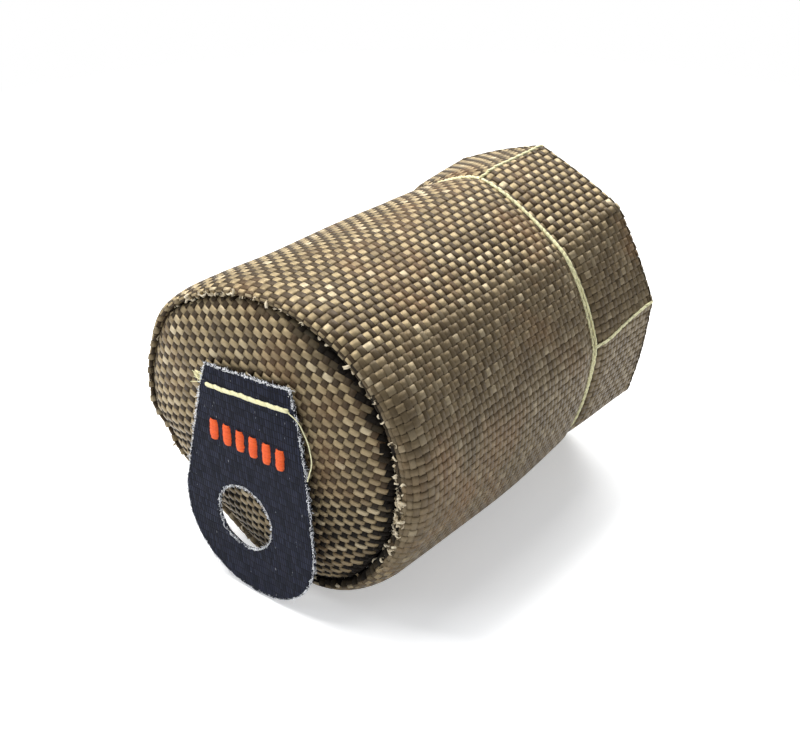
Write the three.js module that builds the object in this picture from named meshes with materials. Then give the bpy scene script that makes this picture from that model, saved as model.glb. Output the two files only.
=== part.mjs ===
// A sewn heat blanket for a screw-on oil filter, lying on its side.
// A padded sleeve of woven mineral cloth is closed by a puffed end panel,
// runs out into a thin open skirt and carries a pull tab with a round hole.
// Millimetres. The sleeve lies along Y, its open end towards +Y, and Z is up.
import * as THREE from 'three';

const { lerp, smoothstep, clamp, degToRad: radians } = THREE.MathUtils;
const fullTurn = 2 * Math.PI;

// Sleeve
const sleeveRadius = 48;         // outside of the padded wall at the closed end
const sleeveLength = 117.8;      // from the crease of the end panel to the rim
const stitchPlace = 88.3;        // from the crease to the row of stitches round the sleeve
const taperStart = 12;           // where the wall starts to draw in towards the stitches
const endReach = 30;             // how far the uneven closed end shows along the wall
const flatSpotSag = 1.2;         // how far the round wall is pressed flat where it lies
const clothThickness = 1.2;      // woven outer cloth, tow tops included
const weaveDepth = 0.45;         // from the top of a tow to the dip between two tows
const linerThickness = 0.7;      // fine inner cloth
const filterBore = 76.6;         // bore of the liner, for a filter 76 mm across
const layerGap = 0.3;            // clearance between neighbouring layers
const battingGap = 0.5;          // clearance between the batting and the outer cloth
const paddingSetback = 5;        // the wall padding ends this far before the stitches
const linerFlare = 9;            // length over which the liner opens out to the stitches

// Corners of the limp skirt, at the stitches and at the rim: angle round the sleeve
// in degrees from +X towards +Z, and radius. Every second corner is sewn down.
const skirtCorners = [
  { sewn: true, stitches: { angle: -152, radius: 45.0 }, rim: { angle: -152, radius: 45.6 } },
  { stitches: { angle: -112, radius: 45.8 }, rim: { angle: -112, radius: 46.2 } },
  { sewn: true, stitches: { angle: -66, radius: 46.2 }, rim: { angle: -66, radius: 46.4 } },
  { stitches: { angle: -33, radius: 44.9 }, rim: { angle: -31, radius: 45.6 } },
  { sewn: true, stitches: { angle: 8, radius: 44.9 }, rim: { angle: 13, radius: 46.2 } },
  { stitches: { angle: 47, radius: 46.4 }, rim: { angle: 51, radius: 48.5 } },
  { sewn: true, stitches: { angle: 90, radius: 49.3 }, rim: { angle: 88, radius: 49.9 } },
  { stitches: { angle: 128, radius: 45.2 }, rim: { angle: 128, radius: 46.2 } },
  { stitches: { angle: 168, radius: 45.0 }, rim: { angle: 168, radius: 46.0 } },
];
const crispnessAtStitches = 0.35; // 0 leaves the skirt round, 1 gives straight sides
const crispnessAtRim = 0.8;

// Closed end
// Going round it by angle: radius of the wall, radius of the crease where the end
// panel is sewn in, and place of that crease along the sleeve
const endOutline = [
  { angle: -160, wall: 46.8, crease: 44.0, place: -0.5 },
  { angle: -145, wall: 47.0, crease: 43.8, place: 2.2 },
  { angle: -120, wall: 47.8, crease: 43.6, place: 3.6 },
  { angle: -90, wall: 48.0, crease: 43.4, place: 2.2 },
  { angle: -60, wall: 48.0, crease: 43.0, place: 1.0 },
  { angle: -30, wall: 48.0, crease: 40.6, place: 1.5 },
  { angle: 0, wall: 48.0, crease: 40.0, place: 1.1 },
  { angle: 45, wall: 48.0, crease: 41.8, place: 0.2 },
  { angle: 90, wall: 48.0, crease: 44.0, place: -2.3 },
  { angle: 118, wall: 49.0, crease: 45.5, place: -4.0 },
  { angle: 140, wall: 50.2, crease: 47.0, place: -5.2 },
  { angle: 162, wall: 47.6, crease: 45.2, place: -5.2 },
  { angle: 180, wall: 47.0, crease: 44.8, place: -4.6 },
];
const lipDepth = 4;              // length of the seam allowances turned inwards
const rollHeight = 3.4;          // the wall's rolled front edge, along Y
const rollSeat = 1.6;            // how far behind the crease the roll springs
const shoulderReach = 6;         // how far behind the crease the roll has become the wall
const rollLean = 1.25;           // above 1, the roll's foremost line lies nearer the crease
const panelSetback = -2.3;       // base of the end panel's swell at its middle
const panelPuff = 7;             // how far the end panel swells out of the crease
const linerEndPlace = 6;         // inner face of the liner's end, from the start of the sleeve

// Threads and seams
const threadDiameter = 0.8;
const stitchLength = 3.2;
const stitchValley = threadDiameter + 2 * layerGap; // the stitches pull the wall in by this
const valleyWidth = 3.6;
const seamAngle = -142;          // lengthwise closing seam of the outer cloth, on the hidden side
const seamDepth = 0.5;
const seamWidth = 2.2;           // in degrees round the sleeve

// Tab
const tabThickness = 1.6;
const tabTopWidth = 29.5;
const tabTopTilt = 4.3;          // degrees; the tab is sewn on a little askew
const tabEndRadius = 24;
const tabEndBulge = 1.9;         // the round end is fuller towards this angle
const tabBulgeAngle = -45;
const tabHoleDiameter = 20;
const tabHoleDrop = 46.8;        // from the top edge to the middle of the hole
const tabTopHeight = 71.7;       // middle of the top edge, above the ground
const tabShift = -2.8;           // middle of the top edge, along X
const tabLean = -1;              // the round end hangs this far to one side of the top edge
const tabHoleShift = -1.2;       // and the hole this far to one side of the round end
const tabBulgeLeft = 0.2;        // how far each long side curves outwards
const tabBulgeRight = 2.2;
const tabStitchDrop = 6.2;       // from the top edge to the row of stitches

// Satin-stitched bars on the tab
const barCount = 6;
const barWidth = 3.1;
const barHeight = 6.4;
const barPitch = 4.9;
const barThickness = 0.5;
const barDrop = 21.2;            // from the tab's top edge to the middle of the bars

// Fineness of the skins
const towsAround = 72;
const towPitch = 3.1;
const plainAround = 36;
const panelCells = 20;
const panelShares = [0.85, 0.6, 0.3];
const panelTurn = 18.6;          // degrees between the panel's weave and the ground
const threadSides = 6;
const tabTopParts = 6;
const tabSideParts = 4;
const tabEndParts = 18;
const tabRings = 4;

// Colours
const finishes = {
  woven: { color: 0x8d7655, roughness: 0.55, metalness: 0 },
  padding: { color: 0xe6e0d2, roughness: 0.95, metalness: 0 },
  liner: { color: 0xb9ad95, roughness: 0.8, metalness: 0 },
  tab: { color: 0x1c1f2b, roughness: 0.75, metalness: 0 },
  thread: { color: 0xe8e2ab, roughness: 0.6, metalness: 0 },
  bars: { color: 0xe85a1e, roughness: 0.5, metalness: 0 },
};

const axisHeight = sleeveRadius - flatSpotSag;

// Places along the sleeve that all plain layers share, so that their gaps stay even
const paddingEnd = stitchPlace - paddingSetback;
const flareStart = stitchPlace - linerFlare;
const quiltRows = [taperStart, ...between(taperStart, flareStart, 3), flareStart, paddingEnd];
const skirtRows = [
  ...between(paddingEnd, stitchPlace, 2),
  stitchPlace,
  ...between(stitchPlace, sleeveLength, 3),
  sleeveLength,
];

const linerOuter = filterBore / 2 + linerThickness;
const tabEnd = new THREE.Vector2(tabShift + tabLean, tabTopHeight - tabHoleDrop);
const tabHole = new THREE.Vector2(tabEnd.x + tabHoleShift, tabEnd.y);

/** Even places between two ends, the ends left out. */
function between(start, end, parts) {
  return Array.from({ length: parts - 1 }, (_, k) => lerp(start, end, (k + 1) / parts));
}

/** A closed skin of triangles, built from rings and patches of points. */
class Skin {
  constructor() {
    this.positions = [];
    this.triangles = [];
  }

  point(p) {
    this.positions.push(p.x, p.y, p.z);
    return this.positions.length / 3 - 1;
  }

  ring(points) {
    return points.map((p) => this.point(p));
  }

  /** Fills the band between two rings; splits says which diagonal each patch is cut along. */
  join(first, second, splits = () => true) {
    if (first.length === second.length) {
      first.forEach((a, i) => {
        const next = (i + 1) % first.length;
        this.quad(a, first[next], second[next], second[i], splits(i));
      });
      return;
    }
    let i = 0;
    let j = 0;
    while (i < first.length || j < second.length) {
      const a = first[i % first.length];
      const b = second[j % second.length];
      if ((i + 1) / first.length <= (j + 1) / second.length) {
        this.triangles.push(a, b, first[(i + 1) % first.length]);
        i += 1;
      } else {
        this.triangles.push(a, b, second[(j + 1) % second.length]);
        j += 1;
      }
    }
  }

  /** One four-sided patch, split along the diagonal that joins its dips. */
  quad(a, b, c, d, splitFromB) {
    if (splitFromB) {
      this.triangles.push(a, d, b, b, d, c);
    } else {
      this.triangles.push(a, d, c, a, c, b);
    }
  }

  /** Closes a ring with a fan round a middle point. */
  cap(ring, middle) {
    const centre = this.point(middle);
    ring.forEach((a, i) => this.triangles.push(a, centre, ring[(i + 1) % ring.length]));
  }

  /** Joins rings in order, and the last to the first where the skin is a closed loop. */
  loft(rings, closed) {
    rings.slice(1).forEach((ring, k) => this.join(rings[k], ring));
    if (closed) {
      this.join(rings[rings.length - 1], rings[0]);
    }
  }

  /** Joins an outside and the way back inside it, cut along the same diagonals. */
  shell(outside, inside) {
    this.loft(outside, false);
    this.join(outside[outside.length - 1], inside[0]);
    inside.slice(1).forEach((ring, k) => this.join(inside[k], ring, () => false));
    this.join(inside[inside.length - 1], outside[0]);
  }

  /** Joins rings whose points stand high and low in turn, as tows do in a weave. */
  loftWoven(rings) {
    rings.slice(1).forEach((ring, k) => this.join(rings[k], ring, (i) => (i + k) % 2 === 0));
  }

  /** The finished geometry, with its faces turned outwards. */
  geometry() {
    const geometry = new THREE.BufferGeometry();
    geometry.setAttribute('position', new THREE.Float32BufferAttribute(this.positions, 3));
    geometry.setIndex(faceOutwards(this.positions, this.triangles));
    geometry.computeVertexNormals();
    return geometry;
  }
}

/** Triangles that enclose a positive volume. Caps and bands must already agree. */
function faceOutwards(positions, triangles) {
  const corner = (index) => new THREE.Vector3().fromArray(positions, 3 * index);
  let volume = 0;
  for (let t = 0; t < triangles.length; t += 3) {
    const [a, b, c] = [corner(triangles[t]), corner(triangles[t + 1]), corner(triangles[t + 2])];
    volume += a.dot(b.cross(c));
  }
  if (volume > 0) {
    return triangles;
  }
  const turned = [];
  for (let t = 0; t < triangles.length; t += 3) {
    turned.push(triangles[t], triangles[t + 2], triangles[t + 1]);
  }
  return turned;
}

/** Angles of a ring's points; two points straddle the lowest line of the sleeve. */
function anglesOf(count) {
  return Array.from({ length: count }, (_, i) => -Math.PI / 2 + ((i + 0.5) * fullTurn) / count);
}

/** A point at an angle and radius round the sleeve's axis. */
function round(angle, radius, y) {
  const x = radius * Math.cos(angle);
  const z = axisHeight + radius * Math.sin(angle);
  return new THREE.Vector3(x, y, z);
}

/** The two neighbours in a list of angles that an angle lies between. */
function neighbours(list, angle) {
  const start = radians(list[0].angle);
  const turned = start + THREE.MathUtils.euclideanModulo(angle - start, fullTurn);
  const next = list.findIndex((entry) => radians(entry.angle) > turned);
  const from = next < 0 ? list[list.length - 1] : list[next - 1];
  const to = next < 0 ? list[0] : list[next];
  const toAngle = next < 0 ? start + fullTurn : radians(to.angle);
  return { from, to, span: toAngle - radians(from.angle), past: turned - radians(from.angle) };
}

/** Radius of the skirt's outline, between round and straight-sided. */
function skirtRadius(angle, edge, crispness) {
  const { from, to, span, past } = neighbours(skirtCorners.map((corner) => corner[edge]), angle);
  const soft = lerp(from.radius, to.radius, smoothstep(past / span, 0, 1));
  const across = from.radius * Math.sin(past) + to.radius * Math.sin(span - past);
  const straight = (from.radius * to.radius * Math.sin(span)) / across;
  return lerp(soft, straight, crispness);
}

/** A value of the closed end's outline at any angle. */
function endValue(angle, key) {
  const { from, to, span, past } = neighbours(endOutline, angle);
  return lerp(from[key], to[key], smoothstep(past / span, 0, 1));
}

/** Outside of the woven wall, before the stitches and seams pull it in. */
function fullRadius(angle, y) {
  const below = Math.max(0, -Math.sin(angle)) ** 2;
  const padded = lerp(endValue(angle, 'wall'), sleeveRadius, smoothstep(y, 0, endReach));
  const atStitches = skirtRadius(angle, 'stitches', crispnessAtStitches);
  const atRim = skirtRadius(angle, 'rim', crispnessAtRim);
  const drawn = clamp((y - taperStart) / (stitchPlace - taperStart), 0, 1);
  const toStitches = drawn ** (1 + 8 * below);
  const toRim = smoothstep(y, stitchPlace, sleeveLength);
  return lerp(lerp(padded, atStitches, toStitches), atRim, toRim);
}

/** Pull of the stitches and of the closing seam on the outer cloth. */
function pullIn(angle, y) {
  const valley = stitchValley * Math.exp(-(((y - stitchPlace) / valleyWidth) ** 2));
  const away = THREE.MathUtils.euclideanModulo(angle - radians(seamAngle) + Math.PI, fullTurn) - Math.PI;
  const seam = seamDepth * Math.exp(-((away / radians(seamWidth)) ** 2));
  return valley + seam;
}

/** Greatest radius that stays above the ground. */
function groundRadius(angle) {
  const down = -Math.sin(angle);
  return down > 0 ? axisHeight / down : Infinity;
}

/** Outside of the woven wall. */
function wallRadius(angle, y) {
  return Math.min(fullRadius(angle, y), groundRadius(angle)) - pullIn(angle, y);
}

/** How strongly the weave stands out: pressed flat on the ground and under the stitches. */
function weaveStrength(angle, y) {
  const clear = groundRadius(angle) - fullRadius(angle, y);
  const lifted = smoothstep(clear, 0.2, 1.2);
  const open = 1 - Math.exp(-(((y - stitchPlace) / valleyWidth) ** 2));
  return lifted * open;
}

/** Radius of the crease, seen from the sleeve's axis. */
function creaseAt(angle) {
  return endValue(angle, 'crease');
}

/** Place of the crease along the sleeve. */
function creasePlace(angle) {
  return endValue(angle, 'place');
}

/** A point of the wall's rolled front edge; turn runs from the crease to the outside. */
function rollPoint(angle, turn, inset) {
  const seat = turn < Math.PI / 2 ? rollSeat : shoulderReach;
  const height = rollHeight - inset + seat - rollSeat;
  const outer = wallRadius(angle, creasePlace(angle) + shoulderReach) - inset;
  const inner = creaseAt(angle) + inset;
  const radius = lerp(inner, outer, ((1 - Math.cos(turn)) / 2) ** rollLean);
  return { radius, y: creasePlace(angle) + seat - height * Math.sin(turn) };
}

/** Outer cloth: the rolled front edge, the padded wall and the skirt. */
function outerWall() {
  const skin = new Skin();
  const angles = anglesOf(towsAround);
  const rings = [];
  const dip = (i, k) => weaveDepth * ((i + k) % 2);
  const lip = angles.map((a) => round(a, creaseAt(a), creasePlace(a) + lipDepth));
  rings.push(skin.ring(lip));
  const rollSteps = 4;
  for (let k = 1; k <= rollSteps; k += 1) {
    const turn = ((k - 0.5) / rollSteps) * Math.PI;
    const ring = angles.map((a, i) => {
      const { radius, y } = rollPoint(a, turn, dip(i, k) * weaveStrength(a, 0));
      return round(a, radius, y);
    });
    rings.push(skin.ring(ring));
  }
  const start = shoulderReach + towPitch;
  const bodyRows = Math.round((stitchPlace - start) / towPitch);
  const hemRows = Math.round((sleeveLength - stitchPlace) / towPitch);
  for (let row = 0; row <= bodyRows + hemRows; row += 1) {
    const ring = angles.map((a, i) => {
      const y = row <= bodyRows
        ? lerp(creasePlace(a) + start, stitchPlace, row / bodyRows)
        : lerp(stitchPlace, sleeveLength, (row - bodyRows) / hemRows);
      const depth = dip(i, row + rollSteps + 1) * weaveStrength(a, y);
      return round(a, wallRadius(a, y) - depth, y);
    });
    rings.push(skin.ring(ring));
  }
  skin.loftWoven(rings);
  const insideAngles = anglesOf(plainAround);
  const inside = [];
  [...quiltRows, ...skirtRows].reverse().forEach((y) => {
    const ring = insideAngles.map((a) => round(a, wallRadius(a, y) - clothThickness, y));
    inside.push(skin.ring(ring));
  });
  [1, 0.75, 0.5, 0.25, 0].forEach((share) => {
    const ring = insideAngles.map((a) => {
      const { radius, y } = rollPoint(a, share * Math.PI, clothThickness);
      return round(a, radius, y);
    });
    inside.push(skin.ring(ring));
  });
  const tuck = insideAngles.map((a) => round(a, creaseAt(a) + clothThickness, creasePlace(a) + lipDepth));
  inside.push(skin.ring(tuck));
  inside.slice(1).forEach((ring, k) => skin.join(inside[k], ring, () => false));
  skin.join(rings[rings.length - 1], inside[0]);
  skin.join(inside[inside.length - 1], rings[0]);
  return skin.geometry();
}

/** Front of the end panel over a point of the cross-section, set back by an inset. */
function panelPlace(x, z, inset) {
  const angle = Math.atan2(z - axisHeight, x);
  const share = Math.min(1, Math.hypot(x, z - axisHeight) / (creaseAt(angle) - layerGap));
  const base = lerp(panelSetback, creasePlace(angle), share ** 2);
  return base - (panelPuff - inset) * Math.sqrt(1 - share ** 3);
}

/** A point of the end panel at a share of its radius, a margin inside its edge. */
function panelPoint(angle, share, margin, inset) {
  const radius = share * (creaseAt(angle) - layerGap - margin);
  const point = round(angle, radius, 0);
  return point.setY(panelPlace(point.x, point.z, inset));
}

/** Puffed end panel with its turned-in edge, woven at a slant to the ground. */
function endPanel() {
  const skin = new Skin();
  const half = panelCells / 2;
  const turn = radians(panelTurn);
  const steps = Array.from({ length: panelCells + 1 }, (_, k) => (k - half) / half);
  const grid = steps.map((v, row) => steps.map((u, column) => {
    const across = u * Math.sqrt(1 - (v * v) / 2);
    const up = v * Math.sqrt(1 - (u * u) / 2);
    const share = Math.min(Math.hypot(across, up), 1);
    const point = panelPoint(Math.atan2(up, across) - turn, share, 0, 0);
    const onBorder = Math.max(Math.abs(u), Math.abs(v)) === 1;
    point.y += onBorder ? 0 : weaveDepth * ((row + column) % 2);
    return skin.point(point);
  }));
  grid.slice(1).forEach((line, row) => line.slice(1).forEach((c, column) => {
    const [a, b] = [grid[row][column], grid[row][column + 1]];
    skin.quad(a, b, c, line[column], (row + column) % 2 === 0);
  }));
  const border = borderOf(grid);
  const angles = border.map((index) => {
    const p = new THREE.Vector3().fromArray(skin.positions, 3 * index);
    return Math.atan2(p.z - axisHeight, p.x);
  });
  const tucked = (margin) => skin.ring(angles.map((a) => {
    const p = panelPoint(a, 1, margin, 0);
    return p.setY(creasePlace(a) + lipDepth);
  }));
  const backInset = clothThickness + weaveDepth;
  const behind = [1, ...panelShares].map((share) => (
    skin.ring(angles.map((a) => panelPoint(a, share, clothThickness, backInset)))
  ));
  const rings = [border, tucked(0), tucked(clothThickness), ...behind];
  skin.loft(rings, false);
  skin.cap(rings[rings.length - 1], panelPoint(0, 0, clothThickness, backInset));
  return skin.geometry();
}

/** The outermost points of a square patch, in order round it, against its own turn. */
function borderOf(grid) {
  const last = grid.length - 1;
  const bottom = grid[0].slice(0, last);
  const right = grid.slice(0, last).map((line) => line[last]);
  const top = grid[last].slice(1).reverse();
  const left = grid.slice(1).map((line) => line[0]).reverse();
  return [...bottom, ...right, ...top, ...left].reverse();
}

/** Outside of the liner: round over the filter, flared out to the stitches. */
function linerRadius(angle, y) {
  const flare = smoothstep(y, stitchPlace - linerFlare, stitchPlace - 1);
  const underCloth = wallRadius(angle, y) - clothThickness - layerGap;
  return lerp(linerOuter, underCloth, flare);
}

/** A tube between two radius functions, from one place along the sleeve to another. */
function layeredTube(places, outer, inner, count) {
  const skin = new Skin();
  const angles = anglesOf(count);
  const ringAt = (radius, place) => skin.ring(angles.map((a) => {
    const y = place(a);
    return round(a, radius(a, y), y);
  }));
  const outside = places.map((place) => ringAt(outer, place));
  const inside = places.map((place) => ringAt(inner, place)).reverse();
  skin.shell(outside, inside);
  return skin.geometry();
}

/** Fine cloth inside the padding and the skirt. */
function linerWall() {
  const places = [linerEndPlace - linerThickness, ...quiltRows, ...skirtRows];
  const inner = (a, y) => linerRadius(a, y) - linerThickness;
  return layeredTube(places.map((y) => () => y), linerRadius, inner, plainAround);
}

/** Batting between the outer cloth and the liner. */
function wallPadding() {
  const start = (a) => creasePlace(a) + lipDepth + 2 * layerGap;
  const places = [start, ...quiltRows.map((y) => () => y)];
  const outer = (a, y) => wallRadius(a, y) - clothThickness - battingGap;
  const inner = (a, y) => linerRadius(a, y) + layerGap;
  return layeredTube(places, outer, inner, plainAround);
}

/** A flat round of cloth that closes the liner from inside. */
function linerEnd() {
  const skin = new Skin();
  const angles = anglesOf(plainAround);
  const front = linerEndPlace - linerThickness;
  const reach = filterBore / 2 - layerGap;
  const rings = [front, linerEndPlace].map((y) => skin.ring(angles.map((a) => round(a, reach, y))));
  skin.loft(rings, false);
  closeEnds(skin, rings, front, linerEndPlace);
  return skin.geometry();
}

/** Caps the first and the last ring of a lofted solid. */
function closeEnds(skin, rings, firstPlace, lastPlace) {
  skin.cap([...rings[0]].reverse(), new THREE.Vector3(0, firstPlace, axisHeight));
  skin.cap(rings[rings.length - 1], new THREE.Vector3(0, lastPlace, axisHeight));
}

/** Batting behind the end panel. */
function endPadding() {
  const skin = new Skin();
  const angles = anglesOf(plainAround);
  const inset = clothThickness + weaveDepth + layerGap;
  const margin = clothThickness + layerGap;
  const back = linerEndPlace - linerThickness - layerGap;
  const shoulder = (a) => Math.min(back, creasePlace(a) + lipDepth);
  const front = [...panelShares].reverse().map((share) => angles.map((a) => panelPoint(a, share, margin, inset)));
  const edge = angles.map((a) => panelPoint(a, 1, margin, 0));
  const rings = [
    ...front,
    edge.map((p, i) => p.clone().setY(creasePlace(angles[i]) - layerGap)),
    edge.map((p, i) => p.clone().setY(shoulder(angles[i]))),
    angles.map((a) => round(a, linerOuter, shoulder(a))),
    angles.map((a) => round(a, linerOuter - linerThickness, back)),
  ].map((points) => skin.ring(points));
  skin.loft(rings, false);
  skin.cap([...rings[0]].reverse(), panelPoint(0, 0, margin, inset));
  skin.cap(rings[rings.length - 1], new THREE.Vector3(0, back, axisHeight));
  return skin.geometry();
}

/** A row of stitches: a thread that swells between its needle holes. */
function stitchRow(points, outwards, closed) {
  const skin = new Skin();
  const rings = points.map((p, k) => {
    const before = points[closed ? (k + points.length - 1) % points.length : Math.max(k - 1, 0)];
    const after = points[closed ? (k + 1) % points.length : Math.min(k + 1, points.length - 1)];
    const along = after.clone().sub(before).normalize();
    const out = outwards(p);
    const across = along.clone().cross(out).normalize();
    const radius = (threadDiameter / 2) * (k % 2 === 0 ? 0.72 : 1);
    const section = Array.from({ length: threadSides }, (_, s) => {
      const turn = (s * fullTurn) / threadSides;
      return p.clone().addScaledVector(out, radius * Math.cos(turn)).addScaledVector(across, radius * Math.sin(turn));
    });
    return skin.ring(section);
  });
  skin.loft(rings, closed);
  if (!closed) {
    skin.cap([...rings[0]].reverse(), points[0]);
    skin.cap(rings[rings.length - 1], points[points.length - 1]);
  }
  return skin.geometry();
}

/** Direction away from the sleeve's axis. */
function awayFromAxis(p) {
  return new THREE.Vector3(p.x, 0, p.z - axisHeight).normalize();
}

const threadLift = layerGap + threadDiameter / 2;

/** Stitches round the sleeve where the padding ends. */
function stitchRing() {
  const girth = fullTurn * sleeveRadius;
  const count = 2 * Math.round(girth / stitchLength / 2);
  const points = anglesOf(count).map((a) => round(a, wallRadius(a, stitchPlace) + threadLift, stitchPlace));
  return stitchRow(points, awayFromAxis, true);
}

/** Stitches along a corner of the skirt, from the ring to just short of the rim. */
function skirtSeam(corner) {
  const start = stitchPlace + threadDiameter + 2 * layerGap;
  const end = sleeveLength - stitchLength / 2;
  const steps = 2 * Math.round((end - start) / stitchLength / 2) + 2;
  const points = Array.from({ length: steps + 1 }, (_, k) => {
    const y = lerp(start, end, k / steps);
    const turned = lerp(corner.stitches.angle, corner.rim.angle, smoothstep(y, stitchPlace, sleeveLength));
    const angle = radians(turned);
    return round(angle, crest(angle, y) + threadLift, y);
  });
  return stitchRow(points, awayFromAxis, false);
}

/** Highest radius of the cloth within a thread's width of an angle. */
function crest(angle, y) {
  const reach = threadDiameter / sleeveRadius;
  return Math.max(wallRadius(angle - reach, y), wallRadius(angle, y), wallRadius(angle + reach, y));
}

/** Front of the tab: it lies on the end panel at its stitches and hangs plumb below them. */
function tabPlace(x, z) {
  const seated = panelPlace(x, z, 0);
  const plumb = panelPlace(tabEnd.x - tabEndRadius, axisHeight, 0);
  const held = smoothstep(z, tabEnd.y + tabHoleDiameter, tabTopHeight - tabStitchDrop);
  return lerp(plumb, seated, held) - layerGap - tabThickness;
}

/** A point on the slanting top edge or on a line beside it. */
function tabAcross(offset, drop) {
  const tilt = radians(tabTopTilt);
  const x = tabShift + offset * Math.cos(tilt) + drop * Math.sin(tilt);
  const z = tabTopHeight + offset * Math.sin(tilt) - drop * Math.cos(tilt);
  return new THREE.Vector2(x, z);
}

/** Points of a tab side that leaves a top corner and runs into the round end. */
function tabSide(corner, touch, bulge, parts) {
  const outwards = Math.sign(corner.x - tabEnd.x);
  return between(0, 1, parts).map((share) => {
    const point = corner.clone().lerp(touch, share);
    point.x += outwards * bulge * 4 * share * (1 - share);
    return point;
  });
}

/** Outline of the tab: a straight top, two long sides and a round end. */
function tabOutline() {
  const left = tabAcross(-tabTopWidth / 2, 0);
  const right = tabAcross(tabTopWidth / 2, 0);
  const touchAngle = (corner, side) => {
    const away = corner.clone().sub(tabEnd);
    return away.angle() + side * Math.acos(tabEndRadius / away.length());
  };
  const from = touchAngle(left, 1);
  const to = touchAngle(right, -1) + fullTurn;
  const onEnd = (angle) => {
    const fuller = Math.max(0, Math.cos(angle - radians(tabBulgeAngle))) ** 4;
    const reach = tabEndRadius + tabEndBulge * fuller;
    return new THREE.Vector2(reach * Math.cos(angle), reach * Math.sin(angle)).add(tabEnd);
  };
  return [
    right,
    ...between(-1, 1, tabTopParts).reverse().map((share) => tabAcross((share * tabTopWidth) / 2, 0)),
    left,
    ...tabSide(left, onEnd(from), tabBulgeLeft, tabSideParts),
    ...[from, ...between(from, to, tabEndParts), to].map(onEnd),
    ...tabSide(right, onEnd(to), tabBulgeRight, tabSideParts).reverse(),
  ];
}

/** Woven tab with its hole, following the end panel at the top. */
function pullTab() {
  const skin = new Skin();
  const outline = tabOutline();
  const shares = [0, ...between(0, 1, tabRings), 1];
  const side = (depth) => shares.map((share) => skin.ring(outline.map((edge) => {
    const away = edge.clone().sub(tabHole).setLength(tabHoleDiameter / 2);
    const point = tabHole.clone().add(away).lerp(edge, share);
    return new THREE.Vector3(point.x, tabPlace(point.x, point.y) + depth, point.y);
  })));
  skin.shell(side(0), side(tabThickness).reverse());
  return skin.geometry();
}

/** Stitches that hold the tab. */
function tabStitches() {
  const steps = 2 * Math.round(tabTopWidth / stitchLength) + 2;
  const half = tabTopWidth / 2 - threadDiameter;
  const points = Array.from({ length: steps + 1 }, (_, k) => {
    const { x, y: z } = tabAcross(lerp(-half, half, k / steps), tabStitchDrop);
    return new THREE.Vector3(x, tabPlace(x, z) - threadLift, z);
  });
  return stitchRow(points, () => new THREE.Vector3(0, -1, 0), false);
}

/** One satin-stitched bar, laid on the front of the tab. */
function tabBar(index) {
  const z = tabTopHeight - barDrop;
  const x = tabShift + (index - (barCount - 1) / 2) * barPitch;
  const [w, h] = [barWidth / 2, barHeight / 2];
  const corners = [[-w, -h], [w, -h], [w, h], [-w, h]];
  const front = Math.min(...corners.map(([across, up]) => tabPlace(x + across, z + up)));
  const bend = barWidth / 4;
  const shape = new THREE.Shape();
  shape.moveTo(-w + bend, -h);
  shape.absarc(w - bend, -h + bend, bend, -Math.PI / 2, 0, false);
  shape.absarc(w - bend, h - bend, bend, 0, Math.PI / 2, false);
  shape.absarc(-w + bend, h - bend, bend, Math.PI / 2, Math.PI, false);
  shape.absarc(-w + bend, -h + bend, bend, Math.PI, 1.5 * Math.PI, false);
  const geometry = new THREE.ExtrudeGeometry(shape, {
    depth: barThickness,
    bevelEnabled: false,
    curveSegments: 1,
  });
  geometry.rotateX(Math.PI / 2);
  geometry.translate(x, front - layerGap, z);
  return geometry;
}

const blanket = new THREE.Group();

/** Adds one named piece with its finish. */
function addPiece(name, geometry, finish) {
  const mesh = new THREE.Mesh(geometry, new THREE.MeshStandardMaterial(finishes[finish]));
  mesh.name = name;
  blanket.add(mesh);
}

addPiece('outer_wall', outerWall(), 'woven');
addPiece('end_panel', endPanel(), 'woven');
addPiece('wall_padding', wallPadding(), 'padding');
addPiece('end_padding', endPadding(), 'padding');
addPiece('liner_wall', linerWall(), 'liner');
addPiece('liner_end', linerEnd(), 'liner');
addPiece('pull_tab', pullTab(), 'tab');
addPiece('stitch_ring', stitchRing(), 'thread');
skirtCorners.filter((corner) => corner.sewn).reverse().forEach((corner, k) => {
  addPiece(`skirt_seam_${k + 1}`, skirtSeam(corner), 'thread');
});
addPiece('tab_stitches', tabStitches(), 'thread');
for (let k = 0; k < barCount; k += 1) {
  addPiece(`tab_bar_${k + 1}`, tabBar(k), 'bars');
}

// The origin is on the ground, under the middle of the sleeve
blanket.position.y = -sleeveLength / 2;

export default blanket;
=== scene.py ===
"""Looks of a sewn heat blanket for an oil filter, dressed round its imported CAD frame.

The forms repeat the named values of the CAD source, in millimetres, and are put into the
row frame, in metres, when their meshes are made. Tows, stitches and frayed ends are laid
by one Geometry Nodes tree.
"""

from __future__ import annotations

import logging
import math
from dataclasses import dataclass
from enum import Enum

import bpy
import numpy as np
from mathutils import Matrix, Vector

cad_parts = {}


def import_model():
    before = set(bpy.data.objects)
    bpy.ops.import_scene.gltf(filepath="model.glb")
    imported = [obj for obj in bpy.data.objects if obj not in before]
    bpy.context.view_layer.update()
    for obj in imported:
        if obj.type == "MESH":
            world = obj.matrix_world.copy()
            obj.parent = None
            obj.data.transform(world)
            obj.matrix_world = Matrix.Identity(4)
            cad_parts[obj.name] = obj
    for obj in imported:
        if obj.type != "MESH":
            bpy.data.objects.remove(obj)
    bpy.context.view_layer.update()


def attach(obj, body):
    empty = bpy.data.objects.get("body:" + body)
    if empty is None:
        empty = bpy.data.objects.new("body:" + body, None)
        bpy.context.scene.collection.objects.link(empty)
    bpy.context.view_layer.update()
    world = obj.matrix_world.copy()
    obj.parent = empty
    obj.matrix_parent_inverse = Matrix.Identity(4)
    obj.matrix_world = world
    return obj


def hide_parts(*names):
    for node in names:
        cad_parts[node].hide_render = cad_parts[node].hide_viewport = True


log = logging.getLogger("heat_blanket")

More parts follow.
